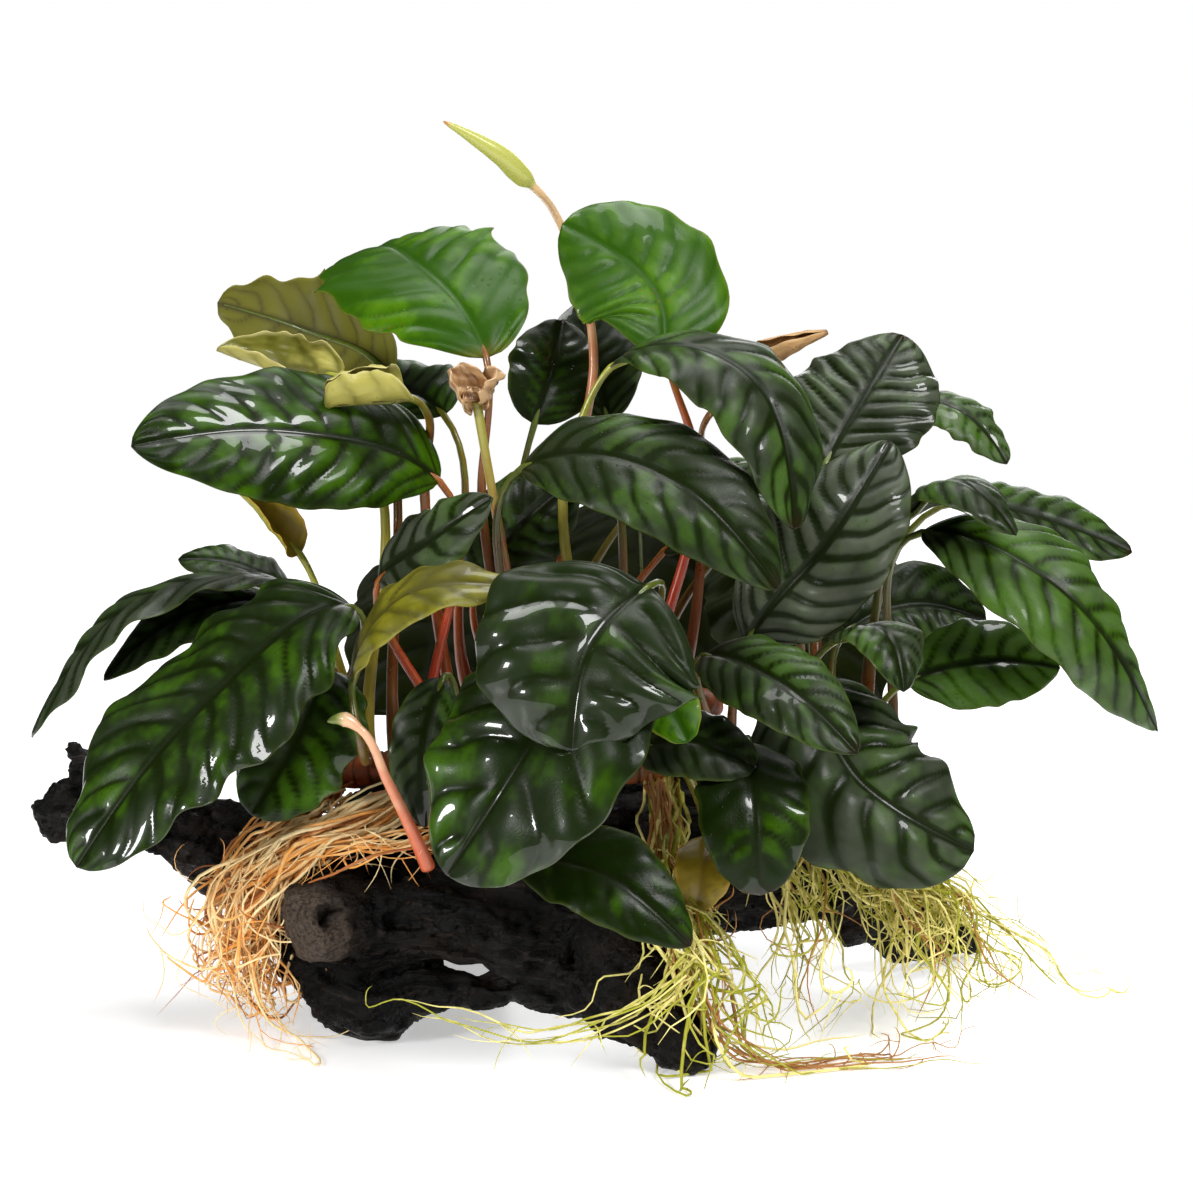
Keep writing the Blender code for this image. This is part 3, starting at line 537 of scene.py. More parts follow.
def settle(piece, materials, slot, *nodes):
    """Link a finished piece, give it its materials, and tie it to the frame."""
    bpy.context.scene.collection.objects.link(piece)
    for material in materials:
        piece.data.materials.append(material)
    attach(piece, "root")
    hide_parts(*nodes)


def tube_rings(line, radii, sides, face=Vector((0.3, -1.0, 0.2))):
    """Rings of a round tube along a line of points."""
    ways = directions(line)
    ups = np.array(carried(face, ways))
    asides = np.cross(np.array(ways), ups)
    angles = np.arange(sides) * (2 * math.pi / sides)
    spokes = ups[:, None] * np.cos(angles)[None, :, None] + asides[:, None] * np.sin(angles)[None, :, None]
    return np.array(line)[:, None] + spokes * np.asarray(radii).reshape(len(line), -1, 1)


def rounded(radii, rows=4):
    """Close a tube's radii to a blunt point over its last rows."""
    radii = np.array(radii, dtype=float)
    fade = np.sqrt(np.linspace(1, 0, rows + 1)[1:])
    radii[-rows:] = radii[-rows:] * np.maximum(fade, 0.12) ** 0.6
    return radii


# ---------------------------------------------------------------- leaves
def waves(rng, x, counts):
    """A smooth uneven line: waves of the given counts with random phases, about -1 to 1."""
    total = 0.0
    for count in counts:
        total = total + np.sin(2 * math.pi * (count * x + rng.uniform())) * rng.uniform(0.6, 1.0)
    return total / len(counts) ** 0.75


def ease(x, low, high):
    """0 below low, 1 above high, and smooth between."""
    t = np.clip((x - low) / (high - low), 0, 1)
    return t * t * (3 - 2 * t)


def outline(u, blunt):
    """Half the blade's width at u as a share of the greatest, 0 at the stalk and 1 at the tip."""
    power = 0.60 + (blunt - 0.60) * u
    return np.maximum(np.sin(math.pi * u**0.9), 0.0) ** power


def vein_pattern(look, u, s, rng):
    """For one half: the height of the pillows between side veins, 0 to about 1, and how near a vein is."""
    start = u - 0.21 * (0.45 * s + 0.55 * s**2)
    phase = look.veins * start + rng.uniform(0, 1) + 0.10 * waves(rng, u + 0.3 * s, (1.7, 3.3))
    cell = np.floor(phase)
    part = phase - cell
    heights = rng.uniform(0.6, 1.25, 40)[cell.astype(int) % 40]
    pillow = (1 - (2 * part**0.92 - 1) ** 2) * heights
    gap = np.minimum(part, 1 - part)
    near = 0.55 * np.exp(-(gap / 0.06) ** 2) + 0.45 * np.exp(-(gap / 0.2) ** 2)
    return pillow, near


def relief(look, u, v, half, rng):
    """Height of the skin above the smooth blade in millimetres, and how near a vein each point is."""
    s = np.abs(v)
    left = vein_pattern(look, u, s, rng)
    right = vein_pattern(look, u, s, rng)
    pillow = np.where(v < 0, left[0], right[0])
    near = np.where(v < 0, left[1], right[1])
    rise = ease(s, 0.02, 0.30) * (1 - 0.45 * ease(s, 0.75, 1.0))
    height = look.quilt * half * (pillow - 0.45) * rise
    margin = np.where(v < 0, waves(rng, u, (1.4, 3.1, 5.3)), waves(rng, u, (1.2, 2.7, 4.9)))
    height += look.ruffle * half * s**2.5 * margin * ease(u, 0.0, 0.12)
    height += look.dome * half * 4 * s * (1 - s) * ease(u, 0.0, 0.1)
    bulges = waves(rng, u + 0.35 * v, (1.1, 2.3)) + 0.8 * waves(rng, 0.5 * v + 0.8 * u, (0.9, 1.9))
    height += look.swell * half * bulges * ease(s, 0.0, 0.4)
    if look.wrinkle:
        folds = v + 0.25 * waves(rng, u, (0.8, 1.9))
        height += look.wrinkle * half * waves(rng, folds, (1.7, 3.4, 6.1)) * ease(u, 0.0, 0.2)
    rib = np.exp(-((v * half / 1.3) ** 2))
    height -= MIDRIB_GROOVE * rib * ease(u, 0.0, 0.1)
    return height, np.maximum(near * ease(s, 0.02, 0.1) * (1 - 0.6 * s), rib)


def foot_of(leaf):
    """Where the leaf's stalk leaves its rhizome, and the direction that it sets off in."""
    path = RHIZOMES[leaf.on]
    line = smooth(path, [10] * (len(path) - 1))
    spot = leaf.at * (len(line) - 1)
    k = min(int(spot), len(line) - 2)
    centre = line[k].lerp(line[k + 1], spot - k)
    lean = math.radians(leaf.lean)
    way = Vector((0, -math.sin(lean), math.cos(lean)))
    along = (line[k + 1] - line[k]).normalized()
    way = (way - along * way.dot(along)).normalized()
    return centre + way * (RHIZOME_RADIUS + ROOT_CLEARANCE), way


def blade_rings(leaf, look, u, centre, ways, ups, rng):
    """Rings across a blade, with the marks that its material reads."""
    count = max(12, round(leaf.width / BLADE_PITCH))
    v = np.concatenate([[-1.0], np.linspace(-0.98, 0.98, count - 1), [1.0]])[None, :]
    asides = np.cross(ways, ups)
    u = u[:, None]
    half = np.maximum(leaf.width / 2 * outline(u, look.blunt), TIP_RADIUS)
    lobes = np.where(v < 0, waves(rng, u, (2.1, 4.3, 6.7)), waves(rng, u, (1.9, 3.9, 6.1)))
    half = half * (1 + look.lobes * lobes * np.abs(v) ** 2 * ease(u, 0.0, 0.15) * ease(-u, -1.0, -0.92))
    turn = np.radians((leaf.curl + look.roll) * np.minimum(1, 4 * u) + look.furl * u**3)
    turn = np.where(np.abs(turn) < FLAT_TURN, FLAT_TURN, turn)
    bent = turn * v
    height, near = relief(look, u, v, half, rng)

    def spread(across, up):
        return asides[:, None] * across[..., None] + ups[:, None] * up[..., None]

    skin = centre[:, None] + spread(half * np.sin(bent) / turn, half * (1 - np.cos(bent)) / turn)
    out = spread(-np.sin(bent), np.cos(bent))
    thick = BLADE_THICKNESS / 2 * np.sqrt(1 - v**8)
    top = skin + out * (height + thick)[..., None]
    low = skin + out * (height - thick)[..., None]

    def around(upper, lower):
        return np.concatenate([upper, lower[:, -2:0:-1]], axis=1)

    length = np.concatenate([[0.0], np.cumsum(np.linalg.norm(np.diff(centre, axis=0), axis=1))])
    seed = np.full_like(half + v, rng.uniform(0, 9))
    flat = np.stack([length[:, None] * MM + 0 * v, v * half * MM, seed], axis=-1)
    ends = ease(u, 0.93, 1.0) * rng.choice([0.0, 0.0, 0.6, 1.0]) + ease(-u, -0.06, 0.0) * 0.35
    rim = ease(np.abs(v), 1 - 1.6 / leaf.width, 1.0)
    wet = DRY + (look.wet - DRY) * ease(u, 0.25, 0.75)
    # one of these marks is the share of painted grey sheen, a reflection painted into the colour
    marks = {"flat": around(flat, flat).reshape(-1, 3), "lively": look.lively, "wax": look.wax,
             "under": around(0 * near, 0 * near + 1).ravel()}
    for name, value in (("vein", near), ("stain", ends), ("rim", rim), ("wet", wet)):
        both = value + 0 * near
        marks[name] = around(both, both).ravel()
    return around(top, low), marks


def build_leaf(leaf, number, blades, stalks):
    """One leaf: its blade, and its stalk that runs on as the raised rib under the blade."""
    look = leaf.look
    leaf = leaf._replace(width=leaf.width * look.wide)
    rng = np.random.default_rng(100 + number)
    foot, lean = foot_of(leaf)
    reach = [(Vector(a) - Vector(b)).length for a, b in ((leaf.base, leaf.middle), (leaf.middle, leaf.tip))]
    halves = [max(10, round(r / BLADE_PITCH)) for r in reach]
    stem_steps = [14] * (1 + len(leaf.knees))
    line = smooth([foot, *leaf.knees, leaf.base, leaf.middle, leaf.tip], stem_steps + halves, lean)
    start = sum(stem_steps)
    centre_row = start + halves[0]
    ways = directions(line)
    face = Vector(leaf.face)
    ups = carried(face, ways[centre_row::-1])[::-1][:-1] + carried(face, ways[centre_row:])
    steps = [(b - a).length for a, b in zip(line[start:], line[start + 1:])]
    u = np.concatenate([[0.0], np.cumsum(steps)]) / sum(steps)
    for k, share in enumerate(u):
        turn = Matrix.Rotation(math.radians(look.twist) * (share - 0.5), 3, ways[start + k])
        ups[start + k] = turn @ ups[start + k]
    blade = [np.array(rows[start:]) for rows in (line, ways, ups)]
    rings, marks = blade_rings(leaf, look, u, *blade, rng)
    skin = Skin()
    skin.add(rings, 0, **marks)
    stem, radii, along = midrib_line(line, ups, start, foot, lean)
    skin.add(tube_rings(stem, radii, STALK_SIDES), 1, along=np.repeat(along, STALK_SIDES))
    node = "leaf_" + leaf.name
    skin.piece(node + "_skin", [blades[look.tone], stalks[look.stalk]], SLOTS[look.tone], node)


def midrib_line(line, ups, start, foot, lean):
    """The stalk and the raised rib that it becomes under the blade: points, radii and shares of the stalk."""
    rows = len(line)
    end = rows - 2
    share = np.arange(end) / start
    root, top = STALK_RADII
    places = [0, 0.12, 0.9, 1.0, (end - 1) / start]
    radii = np.interp(share, places, [root * 1.25, root, top, top * 1.15, MIDRIB_TIP_RADIUS])
    stem = []
    for k in range(end):
        drop = min(max((k - start) / 6, 0), 1) * (radii[k] + MIDRIB_GROOVE)
        stem.append(line[k] - ups[k] * drop)
    stem.insert(0, foot - lean * STALK_SINK)
    return stem, np.insert(radii, 0, root * 1.2), np.insert(np.minimum(share, 1.2), 0, 0.0)


def build_leaves():
    blades = {kind: blade_material(kind) for kind in TONES}
    stalks = {kind: stalk_material(kind) for kind in STALK_COLOURS}
    for number, leaf in enumerate(LEAVES):
        build_leaf(leaf, number, blades, stalks)


# ---------------------------------------------------------------- wood
def limb_rings(limb):
    """Rings of a limb with ridges along its grain, lumps, and a worn, uneven end on both sides."""
    steps = 14
    line = smooth([p[:3] for p in limb.path], [steps] * (len(limb.path) - 1))
    radii = radius_along(limb.path, steps)
    ways = directions(line)
    for end, sign in ((0, -1), (-1, 1)):
        line, radii, ways = with_end(line, radii, ways, end, sign)
    sides = 72
    rings = tube_rings(line, radii, sides, Vector((0.2, 0.3, 1.0)))
    widest = max(p[3] for p in limb.path)
    offset = Vector((limb.seed * 7.3, limb.seed * 3.1, limb.seed * 5.7))
    for row, centre in enumerate(line):
        if radii[row] < 0.5:
            continue
        for side in range(sides):
            point = Vector(rings[row, side])
            spoke = (point - centre) / radii[row]
            lump = noise.noise(point / widest + offset) * 2 * limb.knots
            grain = Vector((row * 0.045, 0, 0)) + spoke * 2.1 + offset
            ridge = 0.5 - abs(noise.noise(grain)) * 2.4
            near, far = noise.voronoi(grain * Vector((1.2, 1.0, 1.0)))[0][:2]
            facet = min(far - near, 0.5) - 0.30
            pit = min(noise.noise(point * 0.11 + offset) + 0.28, 0.0)
            rise = lump + 0.10 * ridge + 0.24 * facet + 0.9 * pit
            rings[row, side] = opened(point + spoke * (widest * rise), centre)
    return rings


def opened(point, centre):
    """Move a point of the front wood clear of the slit, to its limb's side of it, and of the arch below."""
    if point.y > FRONT:
        return point
    (x, z), (length, height) = SLIT
    room = height * math.sqrt(max(1 - ((point.x - x) / length) ** 2, 0.0))
    if room > 0:
        point.z = min(point.z, z - room) if centre.z < z else max(point.z, z + room)
    (x, z), (length, height) = ARCH
    level = height * math.sqrt(max(1 - ((point.x - x) / length) ** 2, 0.0))
    if point.z < level:
        point.z = level - (level - point.z) * 0.08
    return point


def with_end(line, radii, ways, end, sign):
    """Close a limb's end with rows that shrink towards a low, blunt dome."""
    way = ways[end] * sign
    radius = radii[end]
    rows = []
    for turn in np.radians([12, 26, 40, 54, 66, 76, 84]):
        rows.append((line[end] + way * (radius * 0.35 * math.sin(turn)), radius * math.cos(turn)))
    added = [p for p, _ in rows]
    closing = np.array([r for _, r in rows])
    if end == 0:
        return added[::-1] + line, np.concatenate([closing[::-1], radii]), [ways[0]] * len(rows) + ways
    return line + added, np.concatenate([radii, closing]), ways + [ways[-1]] * len(rows)


def wood_material():
    """Blackened wood with fibres along the grain, paler and rougher where it is worn."""
    shade = Shade("driftwood")
    grain = shade.mark("flat", "Vector")
    worn = shade.mark("worn")
    fibres = shade.noise(600.0, 5.0, 0.65, shade.stretch(grain, (0.06, 1.0, 1.0)))
    broad = shade.noise(38.0, 4.0, 0.6)
    fine = shade.noise(700.0, 4.0, 0.7)
    colour = shade.mix(shade.span(broad, 0.46, 0.70), (0.0006, 0.0004, 0.0002), (0.0120, 0.0080, 0.0058))
    colour = shade.mix(shade.span(fibres, 0.54, 0.74, 0.0, 0.8), colour, (0.036, 0.024, 0.018))
    scuffed = shade.times(worn, shade.span(fine, 0.35, 0.6, 0.2, 1.0))
    colour = shade.mix(scuffed, colour, (0.085, 0.062, 0.046))
    normal = shade.bump(fibres, 1.8, 0.9)
    normal = shade.bump(fine, 0.40, 0.6, normal)
    rough = shade.span(shade.noise(55.0, 3.0, 0.6), 0.35, 0.65, 0.25, 0.60)
    rough = shade.plus(rough, shade.times(worn, 0.3))
    return shade.finish(Base_Color=colour, Roughness=rough, Normal=normal, Specular_IOR_Level=0.14)


def remeshed(piece):
    """The piece's limbs merged into one skin, and cut off level where the wood stands."""
    merge = piece.modifiers.new("merge", "REMESH")
    merge.mode = "VOXEL"
    merge.voxel_size = VOXEL * MM
    bpy.context.view_layer.update()
    evaluated = piece.evaluated_get(bpy.context.evaluated_depsgraph_get())
    mesh = bpy.data.meshes.new_from_object(evaluated)
    bpy.data.objects.remove(piece, do_unlink=True)
    work = bmesh.new()
    work.from_mesh(mesh)
    everything = work.verts[:] + work.edges[:] + work.faces[:]
    found = bmesh.ops.bisect_plane(work, geom=everything, plane_no=(0, 0, -1), clear_outer=True)
    rim = [e for e in found["geom_cut"] if isinstance(e, bmesh.types.BMEdge)]
    bmesh.ops.holes_fill(work, edges=rim)
    bmesh.ops.smooth_vert(work, verts=[v for v in work.verts if v.co.z > MM], factor=0.4,
                          use_axis_x=True, use_axis_y=True, use_axis_z=True)
    work.to_mesh(mesh)
    work.free()
    mesh.shade_smooth()
    return mesh


def splinters(travelled, spoke):
    """Height in millimetres of the long splinters and cracks that run along a limb."""
    place = Vector((travelled * 0.016, spoke.y * 0.17, spoke.z * 0.17))
    ridge = 0.5 - abs(noise.noise(place)) * 2.2
    fine = 0.5 - abs(noise.noise(place * 2.7 + Vector((9, 4, 2)))) * 2.2
    crack = max(0.0, 1 - abs(noise.noise(place * 1.3 + Vector((3, 7, 5)))) / 0.05)
    return 2.0 * ridge + 0.9 * fine - 2.0 * crack


def in_slit(place):
    """Whether a place is so near the slit that a splinter would close it."""
    (x, z), (length, height) = SLIT
    aside, above = SLIT_MARGIN
    return abs(place.x - x) < length + aside and abs(place.z - z) < height + above and place.y < FRONT


def weather(mesh):
    """Splinter the wood, mark each point's place along and around its limb, and say where it is worn."""
    samples = []
    for limb in WOOD:
        line = smooth([p[:3] for p in limb.path], [8] * (len(limb.path) - 1))
        travelled = 0.0
        for k, point in enumerate(line):
            travelled += (point - line[k - 1]).length if k else 0.0
            samples.append((point, travelled))
    tree = KDTree(len(samples))
    for k, (point, _) in enumerate(samples):
        tree.insert(point, k)
    tree.balance()
    normals = [vertex.normal.copy() for vertex in mesh.vertices]
    grain, worn = [], []
    for vertex in mesh.vertices:
        place = vertex.co / MM
        _, k, _ = tree.find(place)
        spoke = place - samples[k][0]
        grain.append((samples[k][1] * MM, spoke.y * MM, spoke.z * MM))
        face = min(max((WORN_RADIUS - (place - WORN_FACE).length) / 5, 0.0), 1.0)
        hole = max(1 - (place - KNOT_HOLE).length / KNOT_RADIUS, 0.0)
        worn.append(face * (1 - min(2 * hole, 1.0)))
        if place.z > 2.5:
            rise = splinters(samples[k][1], spoke) * (1 - 0.6 * face) - 6 * min(1.6 * hole, 1.0)
            if in_slit(place):
                rise = min(rise, 0.0)
            vertex.co += normals[vertex.index] * (rise * MM)
    mesh.attributes.new("flat", "FLOAT_VECTOR", "POINT").data.foreach_set("vector", np.array(grain).ravel())
    mesh.attributes.new("worn", "FLOAT", "POINT").data.foreach_set("value", worn)


def build_wood():
    """All limbs and burls as one continuous skin."""
    skin = Skin()
    for limb in WOOD + BURLS:
        skin.add(limb_rings(limb))
    raw = bpy.data.objects.new("wood_raw", skin.mesh("wood_raw"))
    bpy.context.scene.collection.objects.link(raw)
    mesh = remeshed(raw)
    weather(mesh)
    whole = bpy.data.objects.new("driftwood_skin", mesh)
    settle(whole, [wood_material()], "driftwood", *[limb.name for limb in WOOD])


# ---------------------------------------------------------------- rhizomes
def rhizome_material():
    """Reddish brown flesh, with a dark ring at each old leaf scar."""
    shade = Shade("rhizome")
    scars = shade.mark("vein")
    blotch = shade.noise(110.0, 4.0, 0.6)
    colour = shade.mix(shade.span(blotch, 0.35, 0.65), (0.160, 0.060, 0.012), (0.420, 0.085, 0.020))
    colour = shade.mix(shade.times(scars, 0.8), colour, (0.050, 0.022, 0.008))
    normal = shade.bump(shade.noise(500.0, 4.0, 0.6), 0.5, 0.8)
    return shade.finish(Base_Color=colour, Roughness=shade.span(blotch, 0.3, 0.7, 0.35, 0.6), Normal=normal)


def build_rhizomes():
    material = rhizome_material()
    for number, (name, path) in enumerate(RHIZOMES.items()):
        rng = np.random.default_rng(300 + number)
        steps = 60
        line = smooth(path, [steps] * (len(path) - 1))
        along = np.arange(len(line)) / (len(line) - 1)
        length = sum((b - a).length for a, b in zip(line, line[1:]))
        scar = (along * length / 5.5 + 0.2 * waves(rng, along, (3, 7))) % 1.0
        ring_scar = np.exp(-(np.minimum(scar, 1 - scar) / 0.08) ** 2)
        radii = RHIZOME_RADIUS * (0.98 + 0.08 * waves(rng, along, (2, 5)) - 0.10 * ring_scar + 0.06 * scar)
        radii *= np.minimum(1, np.sqrt(np.minimum(along, 1 - along) * length / 4 + 0.02))
        skin = Skin()
        skin.add(tube_rings(line, radii, 28), vein=np.repeat(ring_scar, 28))
        skin.piece("rhizome_" + name + "_skin", [material], "rhizome", "rhizome_" + name)


# ---------------------------------------------------------------- flower stalks
def flower_material(name, foot, top, crown=None, tip=None):
    """Smooth flesh: foot to top along the stalk, crown past its end, and tip where it is stained."""
    shade = Shade(name)
    along = shade.mark("along")
    blotch = shade.noise(120.0, 3.0, 0.5)
    up = shade.plus(along, shade.span(blotch, 0.3, 0.7, -0.1, 0.1))
    colour = shade.mix(shade.span(up, 0.1, 0.8), foot, top)
    colour = shade.mix(shade.span(along, 0.97, 1.10), colour, crown or top)
    colour = shade.mix(shade.mark("stain"), colour, tip or top)
    return shade.finish(Base_Color=colour, Roughness=shade.span(blotch, 0.3, 0.7, 0.28, 0.42),
                        Coat_Weight=0.3, Coat_Roughness=0.1)


def stalk_line(name, steps=14):
    """Points and radii along a flower stalk, and how far along it each is."""
    path = STALKS[name]
    line = smooth([p[:3] for p in path], [steps] * (len(path) - 1))
    return line, radius_along(path, steps), np.arange(len(line)) / (len(line) - 1)


def build_bud():
    """A closed, rolled spathe on its long stalk: the roll's edge winds round it as a low step."""
    steps, sides, bare = 16, 32, 5
    line, radii, _ = stalk_line("spathe_bud", steps)
    radii = np.convolve(np.pad(radii, steps // 2, "edge"), np.ones(steps + 1) / (steps + 1), "valid")
    along = np.arange(len(line)) / (bare * steps)
    angles = np.arange(sides) * (2 * math.pi / sides)
    inside = ease(along, 0.98, 1.15)
    wound = (angles[None, :] / (2 * math.pi) + along[:, None] * 0.9) % 1.0
    step = 1 + inside[:, None] * (0.04 + 0.16 * wound * (1 - ease(wound, 0.84, 1.0)))
    skin = Skin()
    tip = np.repeat(ease(along, 1.74, 1.80), sides)
    full = rounded(radii)[:, None] * step
    skin.add(tube_rings(line, full, sides), along=np.repeat(along, sides), stain=tip)
    material = flower_material("spathe_green", (0.50, 0.10, 0.03), (0.86, 0.56, 0.30), (0.46, 0.47, 0.10),
                               (0.46, 0.16, 0.03))
    skin.piece("spathe_bud_skin", [material], "flower_stalk", "spathe_bud")


# base, tip, width, and the way that each flap faces
HUSK_FLAPS = (
    ((-42, -13, 216), (-49, -15, 231), 12, (1, -2, 1)),
    ((-39, -13, 218), (-32, -13, 229), 10, (-2, -1, 2)),
    ((-41, -12, 216), (-43, -15, 224), 9, (0, -2, 1)),
)


def crumpled_lobe(skin, base, tip, width, face, rng):
    """A small dry flap, cupped and wrinkled."""
    rows, columns = 22, 18
    t = np.linspace(0, 1, rows)[:, None]
    v = np.linspace(-1, 1, columns + 1)[None, :]
    base, tip, face = (np.array(p, dtype=float) for p in (base, tip, face))
    way = (tip - base) / np.linalg.norm(tip - base)
    face = face - way * face.dot(way)
    face /= np.linalg.norm(face)
    aside = np.cross(way, face)
    half = width / 2 * np.sin(math.pi * (0.12 + 0.76 * t)) ** 0.6
    turn = math.radians(95) * v
    wrinkle = 0.10 * width * (waves(rng, t + 0.3 * v, (1.3, 2.9)) + waves(rng, v + 0.2 * t, (1.1, 2.7)))
    centre = base + way * (t * np.linalg.norm(tip - base))[..., None]
    lift = half * (1 - np.cos(turn)) + wrinkle
    flap = centre + aside * (half * np.sin(turn))[..., None] + face * lift[..., None]
    out = face * np.cos(turn)[..., None] - aside * np.sin(turn)[..., None]
    thick = 0.3 * np.sqrt(1 - v**8)[..., None]
    top, low = flap + out * thick, flap - out * thick
    shades = 0.5 + 0.35 * waves(rng, t + 0.5 * v, (1.6, 3.4))
    along = np.concatenate([shades, shades[:, -2:0:-1]], axis=1).ravel()
    skin.add(np.concatenate([top, low[:, -2:0:-1]], axis=1), 1, along=np.clip(along, 0, 0.9))


def build_withered_spathe():
    """A red stalk with three dry, crumpled flaps of the old spathe at its top."""
    rng = np.random.default_rng(41)
    skin = Skin()
    line, radii, along = stalk_line("spathe_withered")
    skin.add(tube_rings(line, radii, 12), 0, along=np.repeat(along, 12))
    for base, tip, width, face in HUSK_FLAPS:
        crumpled_lobe(skin, base, tip, width, face, rng)
    stalk_finish = flower_material("spathe_red", (0.42, 0.035, 0.012), (0.36, 0.34, 0.06))
    husk = flower_material("spathe_husk", (0.32, 0.16, 0.06), (0.62, 0.40, 0.20))
    skin.piece("spathe_withered_skin", [stalk_finish, husk], "flower_stalk", "spathe_withered")


def build_pink_stalk():
    """A short pink stalk with a spent, greenish tip."""
    line, radii, along = stalk_line("spathe_stalk")
    spent = ease(along, 0.75, 0.9)
    skin = Skin()
    skin.add(tube_rings(line, rounded(radii), 14), along=np.repeat(along, 14), stain=np.repeat(spent, 14))
    material = flower_material("spathe_pink", (0.62, 0.13, 0.05), (0.80, 0.50, 0.30), (0.30, 0.34, 0.08),
                               (0.20, 0.26, 0.05))
    skin.piece("spathe_stalk_skin", [material], "flower_stalk", "spathe_stalk")


# ---------------------------------------------------------------- roots
# each mass: points that its strands pass, as (x, y, z, scatter), in millimetres
# reach: the least share of the way that a strand goes; curl: how far it wanders; brown: the dead share
Mass = namedtuple("Mass", "through count radius reach curl brown seed")
MASSES = {
    "roots_left": (
        Mass(((-62, -22, 84, 8), (-84, -40, 76, 7), (-104, -42, 68, 9), (-118, -40, 54, 14),
             (-124, -38, 38, 16), (-122, -38, 24, 15), (-118, -37, 14, 12)), 84, 0.75, 0.6, 3, 0.1, 1),
        Mass(((-92, -14, 80, 8), (-102, -30, 76, 8), (-115, -38, 62, 12), (-124, -38, 46, 16),
             (-125, -38, 32, 16), (-121, -37, 22, 13)), 66, 0.6, 0.55, 4.4, 0.15, 2),
        Mass(((-28, -38, 80, 4), (-48, -50, 76, 5), (-70, -54, 72, 6), (-90, -50, 68, 7),
             (-106, -46, 58, 9), (-118, -42, 42, 12)), 18, 0.6, 0.45, 2.4, 0.2, 3),
        Mass(((-114, -38, 50, 8), (-120, -42, 30, 10), (-116, -44, 12, 10), (-106, -50, 1, 14),
             (-100, -56, 1, 16)), 10, 0.45, 0.7, 2.5, 0.2, 4),
    ),
    "roots_front": (
        Mass(((24, -14, 84, 5), (24, -40, 72, 5), (25, -58, 58, 6), (34, -72, 38, 12), (36, -76, 22, 24),
             (34, -70, 9, 32), (32, -66, 2, 38)), 54, 0.78, 0.5, 3.8, 0.06, 5),
        Mass(((20, -30, 88, 4), (22, -44, 78, 4), (22, -56, 62, 5), (28, -66, 46, 7), (34, -72, 30, 12)),
             26, 0.6, 0.6, 1.6, 0.7, 6),
        Mass(((38, -70, 30, 8), (48, -76, 8, 9), (70, -72, 2, 10), (98, -64, 1, 12), (124, -60, 1, 12)), 14,
             0.5, 0.6, 2.4, 0.45, 7),
        Mass(((34, -80, 40, 5), (10, -90, 24, 4), (-18, -94, 19, 4), (-44, -94, 24, 5), (-62, -92, 30, 6)),
             7, 0.45, 0.5, 1.8, 0, 8),
    ),
    "roots_right": (
        Mass(((66, -12, 78, 9), (84, -20, 66, 9), (98, -24, 54, 12), (108, -28, 42, 16), (110, -34, 28, 20),
             (108, -38, 14, 26), (106, -40, 2, 30)), 64, 0.62, 0.32, 3.6, 0.06, 9),
        Mass(((72, -12, 78, 8), (92, -20, 68, 9), (112, -26, 56, 10), (126, -30, 44, 12),
             (134, -34, 32, 14), (140, -38, 18, 18)), 46, 0.6, 0.45, 3.6, 0.05, 10),
        Mass(((52, -20, 80, 8), (64, -34, 68, 9), (70, -44, 54, 12), (72, -50, 38, 15), (71, -54, 22, 18),
             (70, -56, 6, 22)), 34, 0.62, 0.36, 3.4, 0.1, 11),
        Mass(((104, -24, 52, 8), (132, -28, 40, 8), (152, -34, 30, 10), (168, -38, 18, 12),
             (172, -40, 4, 14)), 8, 0.42, 0.6, 3, 0, 12),
    ),
}


def root_material(name, thick, thin, brown):
    """Root flesh between two colours from strand to strand, and a third for the dead strands."""
    shade = Shade(name)
    tint = shade.mark("lively")
    blotch = shade.noise(160.0, 4.0, 0.6)
    mixed = shade.plus(tint, shade.span(blotch, 0.3, 0.7, -0.25, 0.25))
    colour = shade.mix(shade.span(mixed, 0.1, 0.9), thick, thin)
    colour = shade.mix(shade.mark("stain"), colour, brown)
    normal = shade.bump(shade.noise(900.0, 3.0, 0.6), 0.25, 0.7)
    return shade.finish(Base_Color=colour, Roughness=shade.span(blotch, 0.3, 0.7, 0.35, 0.6), Normal=normal)


def strand(skin, points, radius, curl, rng, marks, rows=5, sides=6):
    """One root through points, thinner towards its end and never below the surface."""
    line = smooth(points, [rows] * (len(points) - 1))
    share = np.arange(len(line)) / (len(line) - 1)
    length = sum((b - a).length for a, b in zip(line, line[1:]))
    bends = (length / 60, length / 31)
    kink = np.stack([waves(rng, share, bends) for _ in range(3)], axis=1)
    kink = kink * ease(share, 0, 0.15)[:, None] * curl
    line = [p + Vector(k) for p, k in zip(line, kink)]
    radii = radius * (1 - 0.65 * share**1.5)
    for point, thickness in zip(line, radii):
        point.z = max(point.z, FLOOR_GAP + thickness)
    skin.add(tube_rings(line, rounded(radii, rows=2), sides), **marks)
    return line, radii


